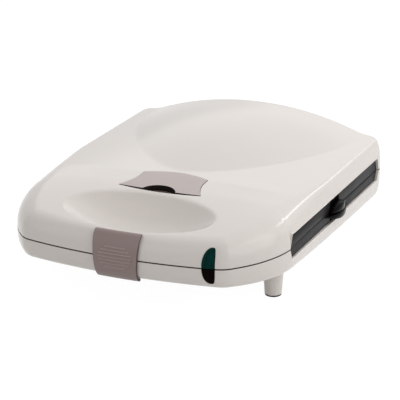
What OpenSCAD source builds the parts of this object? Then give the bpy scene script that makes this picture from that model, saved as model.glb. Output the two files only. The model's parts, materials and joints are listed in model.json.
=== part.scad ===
// Countertop sandwich toaster with a hinged lid, built in a body frame whose y runs back
// from the front of the parting line and whose z rises from the parting plane, then set on
// the worktop with the middle of its footprint at the origin.

/* [Body] */
// Width of the body at the parting line
body_w = 255; // [252:1:260]
// Depth of the body from its bowed front to its back wall
body_d = 322; // [320:1:330]
// Height of the parting plane above the worktop
part_z = 50.5; // [49:0.5:54]
// Wall thickness of the lid and base mouldings
wall_t = 2.5; // [2.2:0.1:3]
// Gap between the rims of the lid and the base
rim_gap = 0.5; // [0.3:0.1:0.8]
// Radius of the bowed front
front_r = 420; // [400:10:460]
// Radius of the long curves that join the front to the sides
side_r = 104; // [100:1:108]
// Distance back at which the sides become straight
side_y = 88; // [86:1:92]
// Radius of the front corners
corner_r = 22; // [18:1:24]
// Radius of the back corners
rear_r = 12; // [8:1:14]

/* [Lid] */
// Height of the lid's side edge above the parting plane
lid_edge_h = 28.5; // [27.5:0.5:31]
// How far the edge sinks towards the front
front_drop = 9.5; // [8:0.5:10]
// Rise of the lid's plain top from its edge to its middle
crown_h = 6; // [5:0.5:8]
// Rise of the dome above the plain top
dome_h = 16.7; // [14:0.1:19]
// Half width of the dome
dome_rx = 103; // [98:1:106]
// Length of the dome's curved front part
dome_ry = 155; // [145:1:160]
// Distance from the back wall at which the dome reaches its full width
dome_back = 32; // [22:1:37]
// Inset of the rounded edge at the sides
lid_side_in = 7.5; // [6.5:0.5:9]
// Inset of the rounded edge at the front
lid_front_in = 10; // [9:0.5:10.5]

/* [Finger recess] */
// Half width of the oval finger recess
bowl_rx = 69; // [62:1:72]
// Distance back of the recess's front rim
bowl_front_y = 12.5; // [12.5:0.5:15]
// Distance back of the recess's rear rim
bowl_rear_y = 79; // [76:1:80]
// Height of the recess's floor above the parting plane
bowl_floor_z = 4.5; // [4:0.5:7]
// Distance back of the recess's deepest point
bowl_deep_y = 32; // [30:1:36]

/* [Base] */
// Depth of the base below the parting plane at the front
base_front_h = 17.5; // [17:0.5:19]
// Depth of the base below the parting plane at the back
base_rear_h = 27.5; // [27:0.5:30]
// Inset of the base's rounded lower edge
base_in = 9; // [7:0.5:10]
// Radius of a foot where it leaves the base
foot_top_r = 9.3; // [8.5:0.1:10]
// Radius of a foot at its sole
foot_sole_r = 7.6; // [7:0.1:8.2]
// Inset of the front feet from the sides
foot_in = 22.5; // [20.5:0.5:29.5]
// Inset of the rear feet from the sides
foot_rear_in = 41.5; // [37.5:0.5:47.5]
// Distance back of the front feet
foot_front_y = 93; // [88:1:100]
// Distance of the rear feet from the back wall
foot_back = 31; // [28:1:42]
// Thickness of the rubber pad that shows below a foot
pad_h = 1.6; // [1.2:0.1:2.4]

/* [Cooking grids] */
// Distance back at which the side openings start
band_y0 = 76; // [74:0.5:78]
// Distance from the back wall at which the side openings end
band_back = 14; // [13:0.5:18]
// Height of the side opening in the lid
band_up = 12.5; // [12:0.5:14]
// Depth of the side opening in the base
band_down = 9.5; // [9:0.5:10.5]
// Lean of the ends of the side openings
band_slant = 4; // [3:0.5:5]
// Inset of the grids' side walls from the body's sides
grid_in = 2.1; // [1.5:0.1:3.1]
// Gap between the two grids' sealing faces
seal_gap = 0.8; // [0.5:0.1:1.2]
// Width of the sealing land round the pockets
land_w = 6; // [5:0.5:8]
// Width of the ridges that cut and seal the sandwiches
ridge_w = 4.5; // [3.5:0.5:6]
// Metal left behind the floor of a pocket
floor_t = 2; // [1.6:0.1:2.6]

/* [Heating] */
// Radius of the sheathed heating elements
element_r = 3; // [2.6:0.1:3.1]
// Bend radius of the heating elements
element_bend = 26; // [20:1:32]
// Sheet thickness of the reflectors
tray_t = 0.6; // [0.5:0.1:0.8]

/* [Latch and lever] */
// Width of the latch at the parting line
latch_w = 45; // [42:1:48]
// Distance the latch stands out of the front
latch_proud = 3; // [2.6:0.1:3.4]
// Radius of the latch pin
latch_pin_r = 1.5; // [1.2:0.1:1.6]
// Half width of the lid lever at its front edge
lever_front_hw = 39; // [36:1:41]
// Half width of the lid lever at its back edge
lever_rear_hw = 31; // [28:1:33]
// Distance back of the lever's front edge
lever_y0 = 87; // [86:0.5:89]
// Distance back of the lever's back corners
lever_y1 = 121; // [118:0.5:124]
// Radius of the lever's finger notch
notch_r = 17; // [14:1:18]
// Radius of the lever's pin
lever_pin_r = 1.2; // [1:0.1:1.3]
// Clearance round the lever and the catches
play = 0.4; // [0.3:0.05:0.5]

/* [Hinge] */
// Distance of the hinge axis behind the back wall
hinge_out = 5.4; // [5.3:0.1:6.5]
// Radius of the hinge knuckles
knuckle_r = 4.8; // [4.4:0.1:4.8]
// Radius of the hinge pins
hinge_pin_r = 2; // [1.6:0.1:2.3]
// Inset of each hinge from the sides
hinge_in = 55.5; // [43.5:0.5:63.5]
// Width of the lid's hinge tongue
tongue_w = 14; // [10:1:18]
// Thickness of each base ear
ear_w = 5; // [4:0.5:7]
// Radial running clearance of every pin
pin_play = 0.06; // [0.04:0.01:0.09]

/* [Fittings] */
// Radius of the cord inlet's bore
inlet_r = 4; // [3:0.1:4.5]
// Distance of the cord inlet left of the middle
inlet_x = 36; // [28:1:44]
// Radius of the screws that hold the reflectors
screw_r = 1.5; // [1.2:0.1:1.7]
// Height of the indicator window above the parting plane
lens_up = 17.2; // [14:0.1:17.6]
// Depth of the indicator window below the parting plane
lens_down = 13.5; // [10:0.5:13.5]
// Width of the indicator window
lens_w = 11; // [10:0.5:13]
// Inset of the window's straight edge from the right side
lens_in = 41.5; // [40.5:0.5:44.5]

/* [Hidden] */

$fn = 32;
seat = 0.2;
rib_stand = 0.55;
half_w = body_w / 2;
dome_y = body_d - dome_back;
foot_x = half_w - foot_in;
foot_rear_x = half_w - foot_rear_in;
foot_rear_y = body_d - foot_back;
band_y1 = body_d - band_back;
grid_hw = half_w - grid_in;
hinge_x = half_w - hinge_in;
lens_x = half_w - lens_in;
edge_power = 2.6;
front_power = 2.2;
mid_y = (body_d + hinge_out + knuckle_r - latch_proud - rib_stand) / 2;
bowl_y = (bowl_front_y + bowl_rear_y) / 2;
bowl_ry = (bowl_rear_y - bowl_front_y) / 2;
bowl_power = 2;
rim_roll = 0.6;
crown_y = 121;
drop_y = 95;
dome_power = 1.6;

// Outline of the body: a bowed front, two corners, long side curves and a straight back
front_c = [0, front_r];
side_c = [half_w - side_r, side_y];
corner_c = inner_touch(front_c, front_r - corner_r, side_c, side_r - corner_r);
rear_c = [half_w - rear_r, body_d - rear_r];
front_dir = dir_of(corner_c - front_c);
side_dir = dir_of(corner_c - side_c);
side_start = side_c[1] + side_r * sin(side_dir);
ring = concat(half_ring(), [for (i = [len(half_ring()) - 2:-1:1]) flip(half_ring()[i])]);
count = len(ring);

function dir_of(v) = atan2(v[1], v[0]);
function mix(a, b, t) = a + (b - a) * t;
function flip(p) = [-p[0], p[1], -p[2], p[3]];
function arc_point(c, r, a) = [c[0] + r * cos(a), c[1] + r * sin(a), cos(a), sin(a)];

// Centre of the circle inside two others that touches both of them
function inner_touch(c1, r1, c2, r2) =
  let (d = norm(c2 - c1), a = (r1 * r1 - r2 * r2 + d * d) / (2 * d),
       h = sqrt(r1 * r1 - a * a), u = (c2 - c1) / d)
  c1 + a * u + h * [-u[1], u[0]];

// A point of the right side with its outward normal, at distance y back
function side_point(y) =
  y >= side_y ? [half_w, y, 1, 0]
  : arc_point(side_c, side_r, asin((y - side_c[1]) / side_r));

// Right half of the outline from the middle of the front to the middle of the back
function half_ring() = concat(
  [for (k = [0:7]) arc_point(front_c, front_r, mix(-90, front_dir, k / 8))],
  [for (k = [0:3]) arc_point(corner_c, corner_r, mix(front_dir, side_dir, k / 4))],
  [for (k = [0:5]) side_point(mix(side_start, band_y0, k / 6))],
  [side_point(band_y0), side_point(band_y0 + band_slant)],
  [for (k = [1:8]) side_point(mix(band_y0 + band_slant, band_y1 - band_slant, k / 9))],
  [side_point(band_y1 - band_slant), side_point(band_y1)],
  [for (k = [0:4]) arc_point(rear_c, rear_r, 90 * k / 4)],
  [for (k = [1:5]) [rear_c[0] * (1 - k / 5), body_d, 0, 1]]);

// Height of the lid's top above the parting plane, before the finger recess
function edge_z(y) = lid_edge_h - front_drop * pow(max(0, drop_y - y) / drop_y, 1.5);
function crown(x, y) =
  crown_h * pow(min(1, max(0, y) / crown_y), 1.2) * (1 - pow(min(1, abs(x) / half_w), 4));
function dome_q(x, y) =
  pow(abs(x) / dome_rx, dome_power) + pow(max(0, dome_y - y) / dome_ry, dome_power);
function dome(x, y) = dome_h * pow(max(0, 1 - pow(dome_q(x, y), 2 / dome_power)), 1.25);
function top_z(x, y) = edge_z(y) + crown(x, y) + dome(x, y);

// Inset of a rounded wall at a share q of its height
function wall_in(q, power) = 1 - pow(max(0, 1 - pow(min(1, q), power)), 1 / power);
function frontness(p) = pow(max(0, -p[3]), 2);
function inset_point(p, s) = [p[0] - s * p[2], p[1] - s * p[3]];
function with_z(p, z) = [p[0], p[1], z];

// Height of the side openings' edge at a point of the outline
function in_band(p) = abs(p[0]) > half_w - 10 && p[1] > band_y0 + 0.01 && p[1] < band_y1 - 0.01;
function lid_rim(p) = in_band(p) ? band_up : rim_gap / 2;
function base_rim(p) = in_band(p) ? -band_down : -rim_gap / 2;

// One vertical line of the lid's skin, from its rim over the top and down into the recess
function lid_in(p) = mix(lid_side_in, lid_front_in, frontness(p));
function lid_power(p) = mix(edge_power, front_power, frontness(p));
function oval_angle(i) =
  let (n = len(half_ring()) - 1, j = i <= n ? i : count - i, p = inset_point(ring[j], 8),
       a = atan2((p[1] - bowl_y) / bowl_ry, p[0] / bowl_rx),
       b = mix(a, -90 + 180 * j / n, 0.5))
  i <= n ? b : 180 - b;
function oval_point(i, grow) =
  [(bowl_rx + grow) * cos(oval_angle(i)), bowl_y + (bowl_ry + grow) * sin(oval_angle(i))];

wall_steps = [0, 0.3, 0.55, 0.75, 0.88, 0.96, 1];
top_steps = [0.12, 0.26, 0.4, 0.54, 0.68, 0.82, 0.93];
bowl_steps = [0, 0.06, 0.16, 0.3, 0.46, 0.64, 0.82];
bowl_pole = [0, bowl_deep_y];

// Skin points at outline index i, moved by grow outwards from the outer surface
function lid_wall(i, grow, share, top_cut) =
  let (p = ring[i], w = share * lid_in(p), e = inset_point(p, w - grow),
       h = top_z(e[0], e[1]) - top_cut, r = lid_rim(p))
  [for (s = wall_steps)
    let (z = mix(r, h, s), q = z / h)
    with_z(inset_point(p, w * wall_in(q, lid_power(p)) - grow), z)];
function lid_top(i, grow, share, top_cut) =
  let (p = ring[i], e = inset_point(p, share * lid_in(p) - grow), o = oval_point(i, -grow))
  [for (s = top_steps) let (v = mix(e, o, s)) with_z(v, top_z(v[0], v[1]) - top_cut)];
function lid_bowl(i, grow, top_cut) =
  let (o = oval_point(i, -grow), z0 = bowl_floor_z + min(0, grow),
       z1 = top_z(o[0], o[1]) - rim_roll - top_cut)
  [for (s = bowl_steps)
    with_z(mix(o, bowl_pole, s), mix(z0, z1, pow(1 - s, bowl_power)))];
function lid_line(i, grow, share, top_cut) =
  concat(lid_wall(i, grow, share, top_cut), lid_top(i, grow, share, top_cut),
         lid_bowl(i, grow, top_cut));

// One vertical line of the base's skin, from its rim down to its floor
function base_z(y) = -mix(base_front_h, base_rear_h, y / body_d);
base_floor_steps = [0.35, 0.7];
base_pole = [0, body_d / 2];
function base_line(i, grow, share) =
  let (p = ring[i], w = share * base_in, e = inset_point(p, w - grow),
       h = base_z(e[1]) - grow, r = base_rim(p))
  concat(
    [for (s = wall_steps)
      let (z = mix(r, h, s))
      with_z(inset_point(p, w * wall_in(z / h, edge_power) - grow), z)],
    [for (s = base_floor_steps)
      let (v = mix(e, base_pole, s)) with_z(v, base_z(v[1]) - grow)]);

// A closed skin from an outer and an inner set of lines that meet at the rim
module shell_from(outer, inner, outer_pole, inner_pole, turn) {
  a = len(outer[0]);
  b = len(inner[0]);
  points = concat([for (l = outer) each l], [for (l = inner) each l],
                  [outer_pole, inner_pole]);
  off = count * a;
  last = len(points);
  faces = concat(
    [for (i = [0:count - 1]) for (k = [0:a - 2]) each
      quad(i * a + k, next(i) * a + k, next(i) * a + k + 1, i * a + k + 1)],
    [for (i = [0:count - 1]) [i * a + a - 1, next(i) * a + a - 1, last - 2]],
    [for (i = [0:count - 1]) for (k = [0:b - 2]) each
      quad(off + next(i) * b + k, off + i * b + k, off + i * b + k + 1,
           off + next(i) * b + k + 1)],
    [for (i = [0:count - 1]) [off + next(i) * b + b - 1, off + i * b + b - 1, last - 1]],
    [for (i = [0:count - 1]) each quad(next(i) * a, i * a, off + i * b, off + next(i) * b)]);
  polyhedron(points, turn ? faces : [for (f = faces) reverse(f)], convexity = 8);
}

function next(i) = (i + 1) % count;
function quad(a, b, c, d) = [[a, b, c], [a, c, d]];
function reverse(f) = [f[2], f[1], f[0]];

// Puts geometry of the body frame on the worktop
module in_place() {
  translate([0, -mid_y, part_z]) children();
}

module mirrored() {
  children();
  mirror([1, 0, 0]) children();
}

module lid_skin() {
  outer = [for (i = [0:count - 1]) lid_line(i, 0, 1, 0)];
  inner = [for (i = [0:count - 1]) lid_line(i, -wall_t, 0.55, wall_t * 1.2)];
  shell_from(outer, inner, [0, bowl_deep_y, bowl_floor_z],
             [0, bowl_deep_y, bowl_floor_z - wall_t], false);
}

module base_skin() {
  outer = [for (i = [0:count - 1]) base_line(i, 0, 1)];
  inner = [for (i = [0:count - 1]) base_line(i, -wall_t, 0.7)];
  mid = body_d / 2;
  shell_from(outer, inner, [0, mid, base_z(mid)], [0, mid, base_z(mid) + wall_t], true);
}

// Extrudes a profile drawn in (back, up) along the width, centred on x
module across(w, x = 0) {
  translate([x - w / 2, 0, 0]) rotate([90, 0, 90]) linear_extrude(w) children();
}

// Extrudes a profile drawn in (right, up) from y0 back to y1
module backwards(y0, y1) {
  translate([0, y1, 0]) rotate([90, 0, 0]) linear_extrude(y1 - y0) children();
}

module rod(r, w, x, y, z) {
  translate([x - w / 2, y, z]) rotate([0, 90, 0]) cylinder(r = r, h = w);
}

module at_hinges() {
  for (s = [-1, 1]) translate([s * hinge_x, 0, 0]) children();
}

hinge_y = body_d + hinge_out;
ear_gap = 0.3;
ear_off = tongue_w / 2 + ear_gap + ear_w / 2;
root_in = 1.8;
root_z = 3.6;
root_h = 11;

// Arm from the back wall to a hinge knuckle, up for the lid and down for the base
module knuckle_profile(up) {
  hull() {
    translate([hinge_y, 0]) circle(knuckle_r, $fn = 32);
    translate([body_d - root_in, up > 0 ? root_z : -root_z - root_h])
      square([root_in + 0.5, root_h]);
  }
}

module lid_tongues() {
  at_hinges() across(tongue_w) knuckle_profile(1);
}

module base_ears() {
  at_hinges() for (s = [-1, 1]) across(ear_w, s * ear_off) knuckle_profile(-1);
}

module hinge_bores() {
  at_hinges() rod(hinge_pin_r + pin_play, tongue_w + 4 * ear_w, 0, hinge_y, 0);
}

// Indicator window: bulged to the left, nearly straight to the right, with rounded ends
lens_mid = (lens_up - lens_down) / 2;
lens_h = (lens_up + lens_down) / 2;
lens_back_y = 16;
lens_proud = 0.3;
lens_right = 0.31 * lens_w;
module window_outline(grow) {
  polygon([for (a = [0:10:350])
    let (c = cos(a), s = sin(a), p = c < 0 ? 2.2 : 3.5,
         w = c < 0 ? lens_w - lens_right : lens_right)
    [lens_x - lens_right + sign(c) * (w + grow) * pow(abs(c), 2 / p),
     lens_mid + sign(s) * (lens_h + grow) * pow(abs(s), 2 / p)]]);
}

function lens_wall(p, z) =
  z > 0
  ? let (e = inset_point(p, lid_in(p)))
    inset_point(p, lid_in(p) * wall_in(z / top_z(e[0], e[1]), lid_power(p)) - lens_proud)
  : let (e = inset_point(p, base_in))
    inset_point(p, base_in * wall_in(z / base_z(e[1]), edge_power) - lens_proud);

// A block whose front follows the body's front round the window
module front_patch(z0, z1) {
  cols = concat(
    [for (k = [0:5]) arc_point(front_c, front_r, mix(front_dir - 2.6, front_dir, k / 6))],
    [for (k = [0:2]) arc_point(corner_c, corner_r, mix(front_dir, side_dir, k / 4))]);
  n = len(cols);
  m = 7;
  front = [for (c = cols) each [for (k = [0:m - 1])
    let (z = mix(z0, z1, k / (m - 1)), p = lens_wall(c, z)) [p[0], p[1], z]]];
  back = [for (v = front) [v[0], lens_back_y, v[2]]];
  s = n * m;
  faces = concat(
    [for (i = [0:n - 2]) for (k = [0:m - 2]) each
      quad(i * m + k, (i + 1) * m + k, (i + 1) * m + k + 1, i * m + k + 1)],
    [for (i = [0:n - 2]) for (k = [0:m - 2]) each
      quad(s + (i + 1) * m + k, s + i * m + k, s + i * m + k + 1, s + (i + 1) * m + k + 1)],
    [for (i = [0:n - 2]) each quad(s + i * m, s + (i + 1) * m, (i + 1) * m, i * m)],
    [for (i = [0:n - 2]) each
      quad(i * m + m - 1, (i + 1) * m + m - 1, s + (i + 1) * m + m - 1, s + i * m + m - 1)],
    [for (k = [0:m - 2]) each quad(k, k + 1, s + k + 1, s + k)],
    [for (k = [0:m - 2]) each
      quad(s + s - m + k, s + s - m + k + 1, s - m + k + 1, s - m + k)]);
  polyhedron(concat(front, back), [for (f = faces) reverse(f)], convexity = 4);
}

lamp_r = 2.4;
lamp_len = 8;
lamp_z = 2;
lamp_x = lens_x - lens_w / 2;
prong_t = 1;

// Lens with two prongs at its back that hold the lamp between them
module lens(z0, z1, prong_z) {
  intersection() {
    front_patch(z0, z1);
    backwards(0, lens_back_y + 1) window_outline(0);
  }
  for (s = [-1, 1])
    translate([lamp_x + s * (lamp_r + seat + prong_t / 2) - prong_t / 2, lens_back_y - 1, prong_z])
      cube([prong_t, 2 + 2 * lamp_r, lamp_len - 2]);
}

// Lamp that stands upright close behind a lens, with a stepped end cap
module lamp(z0) {
  translate([lamp_x, lens_back_y + seat + lamp_r, z0]) {
    cylinder(r = lamp_r, h = lamp_len);
    translate([0, 0, lamp_len]) cylinder(r = lamp_r - 0.8, h = 1.2);
  }
}

// Finger lever on the lid
lever_depth = 5;
lever_t = lever_depth - play;
lever_proud = 0.3;
lever_bulge = 9;
pocket_land = 3.6;
lever_sweep = lever_y0 - play - bowl_rear_y - pocket_land;
lever_pin_y = lever_y1 - 4;
lever_pin_z = top_z(0, lever_pin_y) - 2.4;
lever_well = 9;
notch_back = 7.5;
pocket_wall = 2;

function bow(p0, p1, h, n) =
  [for (k = [0:n]) let (t = k / n, d = p1 - p0)
    p0 + t * d + 4 * h * t * (1 - t) * [-d[1], d[0]] / norm(d)];

module lever_outline() {
  difference() {
    polygon(concat(
      bow([-lever_front_hw, lever_y0], [lever_front_hw, lever_y0], -1.5, 6),
      bow([lever_front_hw, lever_y0], [lever_rear_hw, lever_y1], 3, 6),
      bow([lever_rear_hw, lever_y1], [-lever_rear_hw, lever_y1], -lever_bulge, 10),
      bow([-lever_rear_hw, lever_y1], [-lever_front_hw, lever_y0], 3, 6)));
    translate([0, lever_y0 - notch_back]) circle(notch_r, $fn = 48);
  }
}

module pocket_outline() {
  polygon(concat(
    bow([-lever_front_hw - play, lever_y0 - play], [lever_front_hw + play, lever_y0 - play],
        -lever_sweep, 10),
    bow([lever_front_hw + play, lever_y0 - play], [lever_rear_hw + play, lever_y1 + play], 3, 6),
    bow([lever_rear_hw + play, lever_y1 + play], [-lever_rear_hw - play, lever_y1 + play],
        -lever_bulge - play, 10),
    bow([-lever_rear_hw - play, lever_y1 + play], [-lever_front_hw - play, lever_y0 - play], 3, 6)));
}

// A slab between two copies of the lid's top, over the lever
module top_slab(z_low, z_high) {
  nx = 10;
  ny = 8;
  hw = lever_front_hw + 3;
  xy = [for (j = [0:ny]) each [for (i = [0:nx])
    [mix(-hw, hw, i / nx), mix(lever_y0 - 10, lever_y1 + 14, j / ny)]]];
  s = len(xy);
  w = nx + 1;
  edge = concat([for (i = [0:nx - 1]) [i, i + 1]],
                [for (j = [0:ny - 1]) [j * w + nx, (j + 1) * w + nx]],
                [for (i = [nx:-1:1]) [ny * w + i, ny * w + i - 1]],
                [for (j = [ny:-1:1]) [j * w, (j - 1) * w]]);
  faces = concat(
    [for (j = [0:ny - 1]) for (i = [0:nx - 1]) each
      quad(j * w + i, j * w + i + 1, (j + 1) * w + i + 1, (j + 1) * w + i)],
    [for (j = [0:ny - 1]) for (i = [0:nx - 1]) each
      quad(s + (j + 1) * w + i, s + (j + 1) * w + i + 1, s + j * w + i + 1, s + j * w + i)],
    [for (e = edge) each quad(e[1], e[0], s + e[0], s + e[1])]);
  polyhedron(concat([for (p = xy) [p[0], p[1], top_z(p[0], p[1]) + z_high]],
                    [for (p = xy) [p[0], p[1], top_z(p[0], p[1]) + z_low]]),
             [for (f = faces) reverse(f)], convexity = 4);
}

// Sloping floor of the pocket as a profile in (back, up)
function floor_z(y, d) = top_z(0, y) - d;
module pocket_profile(grow_y, d_front, d_rear, z_up) {
  y0 = lever_y0 - lever_sweep - play - grow_y;
  y1 = lever_y1 + lever_bulge + 2 * play + grow_y;
  ym = lever_pin_y - 4 - grow_y;
  polygon([[y0, floor_z(y0, d_front)], [ym, floor_z(ym, d_front)],
           [ym, floor_z(ym, d_rear)], [y1, floor_z(ym, d_rear)],
           [y1, floor_z(y1, z_up)], [y0, floor_z(y0, z_up)]]);
}

module pocket_tray() {
  w = 2 * (lever_front_hw + play + pocket_wall);
  across(w) pocket_profile(pocket_wall, lever_depth + pocket_wall, lever_well + pocket_wall, 1.2);
}

module pocket_cut() {
  intersection() {
    across(2 * lever_front_hw + 4) pocket_profile(0, lever_depth, lever_well, -6);
    linear_extrude(60) pocket_outline();
  }
}

// Latch: hangs from a pin behind the front wall and hooks under the base
latch_y = 7.4;
latch_z = 13.8;
latch_gap = 0.5;
latch_top_gap = 1.1;
lug_r = 2.7;
lug_w = 5;
lug_x = 14;
cheek_w = 3;
cheek_x = lug_x + lug_w / 2 + ear_gap + cheek_w / 2;
slot_w = lug_w + 2 * ear_gap;

function front_line(z) =
  z >= 0
  ? lid_front_in * wall_in(z / top_z(0, lid_front_in), front_power)
  : base_in * wall_in(z / base_z(base_in), edge_power);

// Point of the latch's bowed outer face between its widest level and an end
latch_top = [7, 21.8];
latch_tip = [8.2, -20.7];
function latch_curve(end, a, power) =
  [end[0] - (end[0] + latch_proud) * pow(cos(a), power), end[1] * pow(sin(a), power)];

module latch_profile() {
  levels = [18.5, 16.5, 14.5, 13, 10, 6, 2, -3, -8, -12, -15];
  outer = concat(
    [for (a = [90:-10:10]) latch_curve(latch_top, a, 1)],
    [for (a = [0:10:90]) latch_curve(latch_tip, a, 0.9)]);
  inner = concat(
    [[9, -18.6], [4.6, -18.3]],
    [for (k = [len(levels) - 1:-1:0])
      [front_line(levels[k]) - (levels[k] > 13 ? latch_top_gap : latch_gap), levels[k]]],
    [[7.4, 21.45]]);
  polygon(concat(outer, inner));
}

// Front view of the latch: a little narrower at the bottom, with small corners at its tip
module latch_outline() {
  top_hw = latch_w / 2 - 0.6;
  low_hw = latch_w / 2 - 3.2;
  polygon([[top_hw, 23], [low_hw, -19.2], [low_hw + 0.6, -22], [-low_hw - 0.6, -22],
           [-low_hw, -19.2], [-top_hw, 23]]);
}

// Grip ribs whose lengths fill a lens shape round the parting line
rib_count = 7;
rib_pitch = 2.9;
rib_r = 1;
rib_mid_z = 1;
function latch_face(z) =
  let (e = z > 0 ? latch_top : latch_tip)
  e[0] - (e[0] + latch_proud) * sqrt(1 - pow(z / e[1], 2));

module latch_ribs() {
  half = (rib_count - 1) / 2;
  for (k = [-half:half]) {
    z = rib_mid_z + k * rib_pitch;
    reach_x = (latch_w / 2 - 6) * sqrt(1 - pow(k / (half + 0.9), 2));
    rod(rib_r, 2 * reach_x, 0, latch_face(z) + rib_r - rib_stand, z);
  }
}

lug_root = front_line(10) - 0.4;
module latch_lugs() {
  for (s = [-1, 1]) across(lug_w, s * lug_x) {
    translate([latch_y, latch_z]) circle(lug_r);
    translate([lug_root, latch_z - 2.4]) square([latch_y - lug_root, 4.4]);
  }
}

module latch_slots() {
  for (s = [-1, 1]) translate([s * lug_x - slot_w / 2, -1, latch_z - 3.2])
    cube([slot_w, 10, 7]);
}

module latch_cheeks() {
  for (s = [-1, 1]) across(cheek_w, s * cheek_x)
    translate([6, latch_z - 3.4]) square([5.6, 8]);
}

// Grid catches: rockers hung on pins beside the grids
catch_y = (band_y0 + band_y1) / 2 - 3;
catch_out = 7;
// Each tab's height, half length and dome radius
upper_tab = [8, 19, 22];
lower_tab = [6.2, 25, 62];
tab_low = 0.6;
catch_leg = 11;
catch_pin_x = half_w - 6.6;
catch_pin_r = 1.2;
catch_lug_y = catch_leg + 2.4;
upper_back = band_up - 0.3;
lower_back = band_down - 0.3;
upper_pin_z = upper_back + 3;
lower_pin_z = lower_back + 3;
nose_in = 5.6;
nose_h = 4.6;
ledge_x = catch_pin_x - nose_in - play;
leg_x = catch_pin_x - 2;

// A catch for the right side with its grid's back at height g above the parting plane
module catch_form(pin_z, tab) {
  difference() {
    union() {
      translate([0, catch_y, 0]) {
        translate([catch_pin_x, catch_leg, pin_z]) rotate([90, 0, 0])
          cylinder(r = 2.2, h = 2 * catch_leg);
        translate([leg_x + 0.2, -catch_leg, tab_low + 0.2])
          cube([3.6, 2 * catch_leg, pin_z - tab_low]);
        translate([catch_pin_x - nose_in, -catch_leg, tab_low + 0.2])
          cube([nose_in + 1, 2 * catch_leg, nose_h - tab_low - 0.2]);
        translate([leg_x + 1, -catch_leg, tab_low])
          cube([half_w - leg_x - 0.5, 2 * catch_leg, nose_h]);
      }
      catch_tab(tab);
    }
    translate([catch_pin_x, catch_y + catch_leg + 1, pin_z]) rotate([90, 0, 0])
      cylinder(r = catch_pin_r + pin_play, h = 2 * catch_leg + 2);
  }
}

// Rounded thumb tab: a segment of a disc with a domed upper side
module catch_tab(tab) {
  half = tab[1];
  r = (half * half + catch_out * catch_out) / (2 * catch_out);
  intersection() {
    translate([half_w - 0.6 + catch_out - r, catch_y, tab_low])
      cylinder(r = r, h = tab[0] - tab_low, $fn = 96);
    translate([half_w - 1.7, catch_y - half, tab_low]) cube([catch_out + 4, 2 * half, tab[0]]);
    translate([half_w - 14, catch_y, tab[0] - tab[2]]) rotate([0, 90, 0])
      cylinder(r = tab[2], h = 40, $fn = 96);
  }
}

// Lugs on a shell for one catch's pin, for the right side
module catch_lugs(pin_z, lug_up) {
  difference() {
    for (s = [-1, 1]) translate([catch_pin_x - 3, catch_y + s * catch_lug_y - 1.2, pin_z - 2.6])
      cube([5.6, 2.4, lug_up]);
    translate([catch_pin_x, catch_y + catch_lug_y + 2, pin_z]) rotate([90, 0, 0])
      cylinder(r = catch_pin_r + pin_play, h = 2 * catch_lug_y + 4);
  }
}

// Cooking grid with its pockets facing the parting plane, drawn with its back at height g
pocket_hw = grid_hw - 13.4;
grid_y0 = band_y0 + 0.7;
grid_y1 = band_y1 - 0.7;
pocket_y0 = grid_y0 + band_slant + land_w;
pocket_y1 = grid_y1 - band_slant - land_w;
pocket_round = 7;
pocket_draft = 0.78;

// One half of a sandwich: a rounded triangle that narrows towards its floor
module pocket_triangle(w, l, depth) {
  translate([w * 0.3, l * 0.3, 0]) linear_extrude(depth, scale = pocket_draft)
    translate([-w * 0.3, -l * 0.3]) offset(pocket_round, $fn = 16)
      offset(delta = -pocket_round - ridge_w / 2) polygon([[0, 0], [w, 0], [0, l]]);
}

// Two triangles of one sandwich, either side of its diagonal ridge
module pocket_pair(w, l, depth) {
  pocket_triangle(w, l, depth);
  translate([w, l, 0]) rotate(180) pocket_triangle(w, l, depth);
}

module grid_form(g) {
  z0 = seal_gap / 2;
  mid = (pocket_y0 + pocket_y1) / 2;
  difference() {
    intersection() {
      across(2 * grid_hw)
        polygon([[grid_y0, z0], [grid_y0 + band_slant, g], [grid_y1 - band_slant, g],
                 [grid_y1, z0]]);
      linear_extrude(g) hull() for (x = [-1, 1], y = [grid_y0 + 4, grid_y1 - 4])
        translate([x * (grid_hw - 4), y]) circle(4);
    }
    for (sx = [0, 1], sy = [0, 1])
      translate([0, mid, z0 - 0.01]) mirror([sx, 0, 0]) mirror([0, sy, 0])
        pocket_pair(pocket_hw, (pocket_y1 - pocket_y0) / 2, g - floor_t - z0);
    mirrored() catch_notch(g);
    for (y = [grid_y0, grid_y1]) for (x = [-1, 1]) translate([x * clip_x - clip_w, y - 3, clip_z])
      cube([2 * clip_w, 6, clip_slot]);
  }
}

module catch_notch(g) {
  hw = catch_leg + play;
  translate([leg_x - play, catch_y - hw, -1]) cube([20, 2 * hw, g + 2]);
  translate([ledge_x, catch_y - hw, -1]) cube([20, 2 * hw, 1 + nose_h + play]);
}

clip_x = 60;
clip_w = 9;
clip_z = 4.6;
clip_slot = 2.6;
clip_t = 0.8;

// Reflector tray over a grid's back at height g
tray_hw = grid_hw - 14.4;
tray_y0 = grid_y0 + 13.3;
tray_y1 = grid_y1 - 13.3;
reach = 2 * element_r + 0.8;
screw_x = tray_hw - 13;
screw_y = [tray_y0 + 14, tray_y1 - 14];
element_exit_x = 26;

module tray_form(g) {
  top = g + seat + reach + tray_t;
  difference() {
    translate([-tray_hw, tray_y0, g + seat])
      cube([2 * tray_hw, tray_y1 - tray_y0, reach + tray_t]);
    translate([-tray_hw + tray_t, tray_y0 + tray_t, g - 1])
      cube([2 * (tray_hw - tray_t), tray_y1 - tray_y0 - 2 * tray_t, reach + 1 + seat]);
    for (x = [-screw_x, screw_x], y = screw_y)
      translate([x, y, top - 2]) cylinder(r = screw_r + 0.2, h = 3);
    for (x = [-element_exit_x, element_exit_x])
      translate([x, tray_y1 + 1, element_z(g)]) rotate([90, 0, 0])
        cylinder(r = element_r + 0.25, h = 3);
  }
}

function element_z(g) = g + seat + 0.4 + element_r;
element_x = tray_hw - 29;
element_y0 = tray_y0 + 14;
element_y1 = tray_y1 - 22;
exit_bend = 14;

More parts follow.
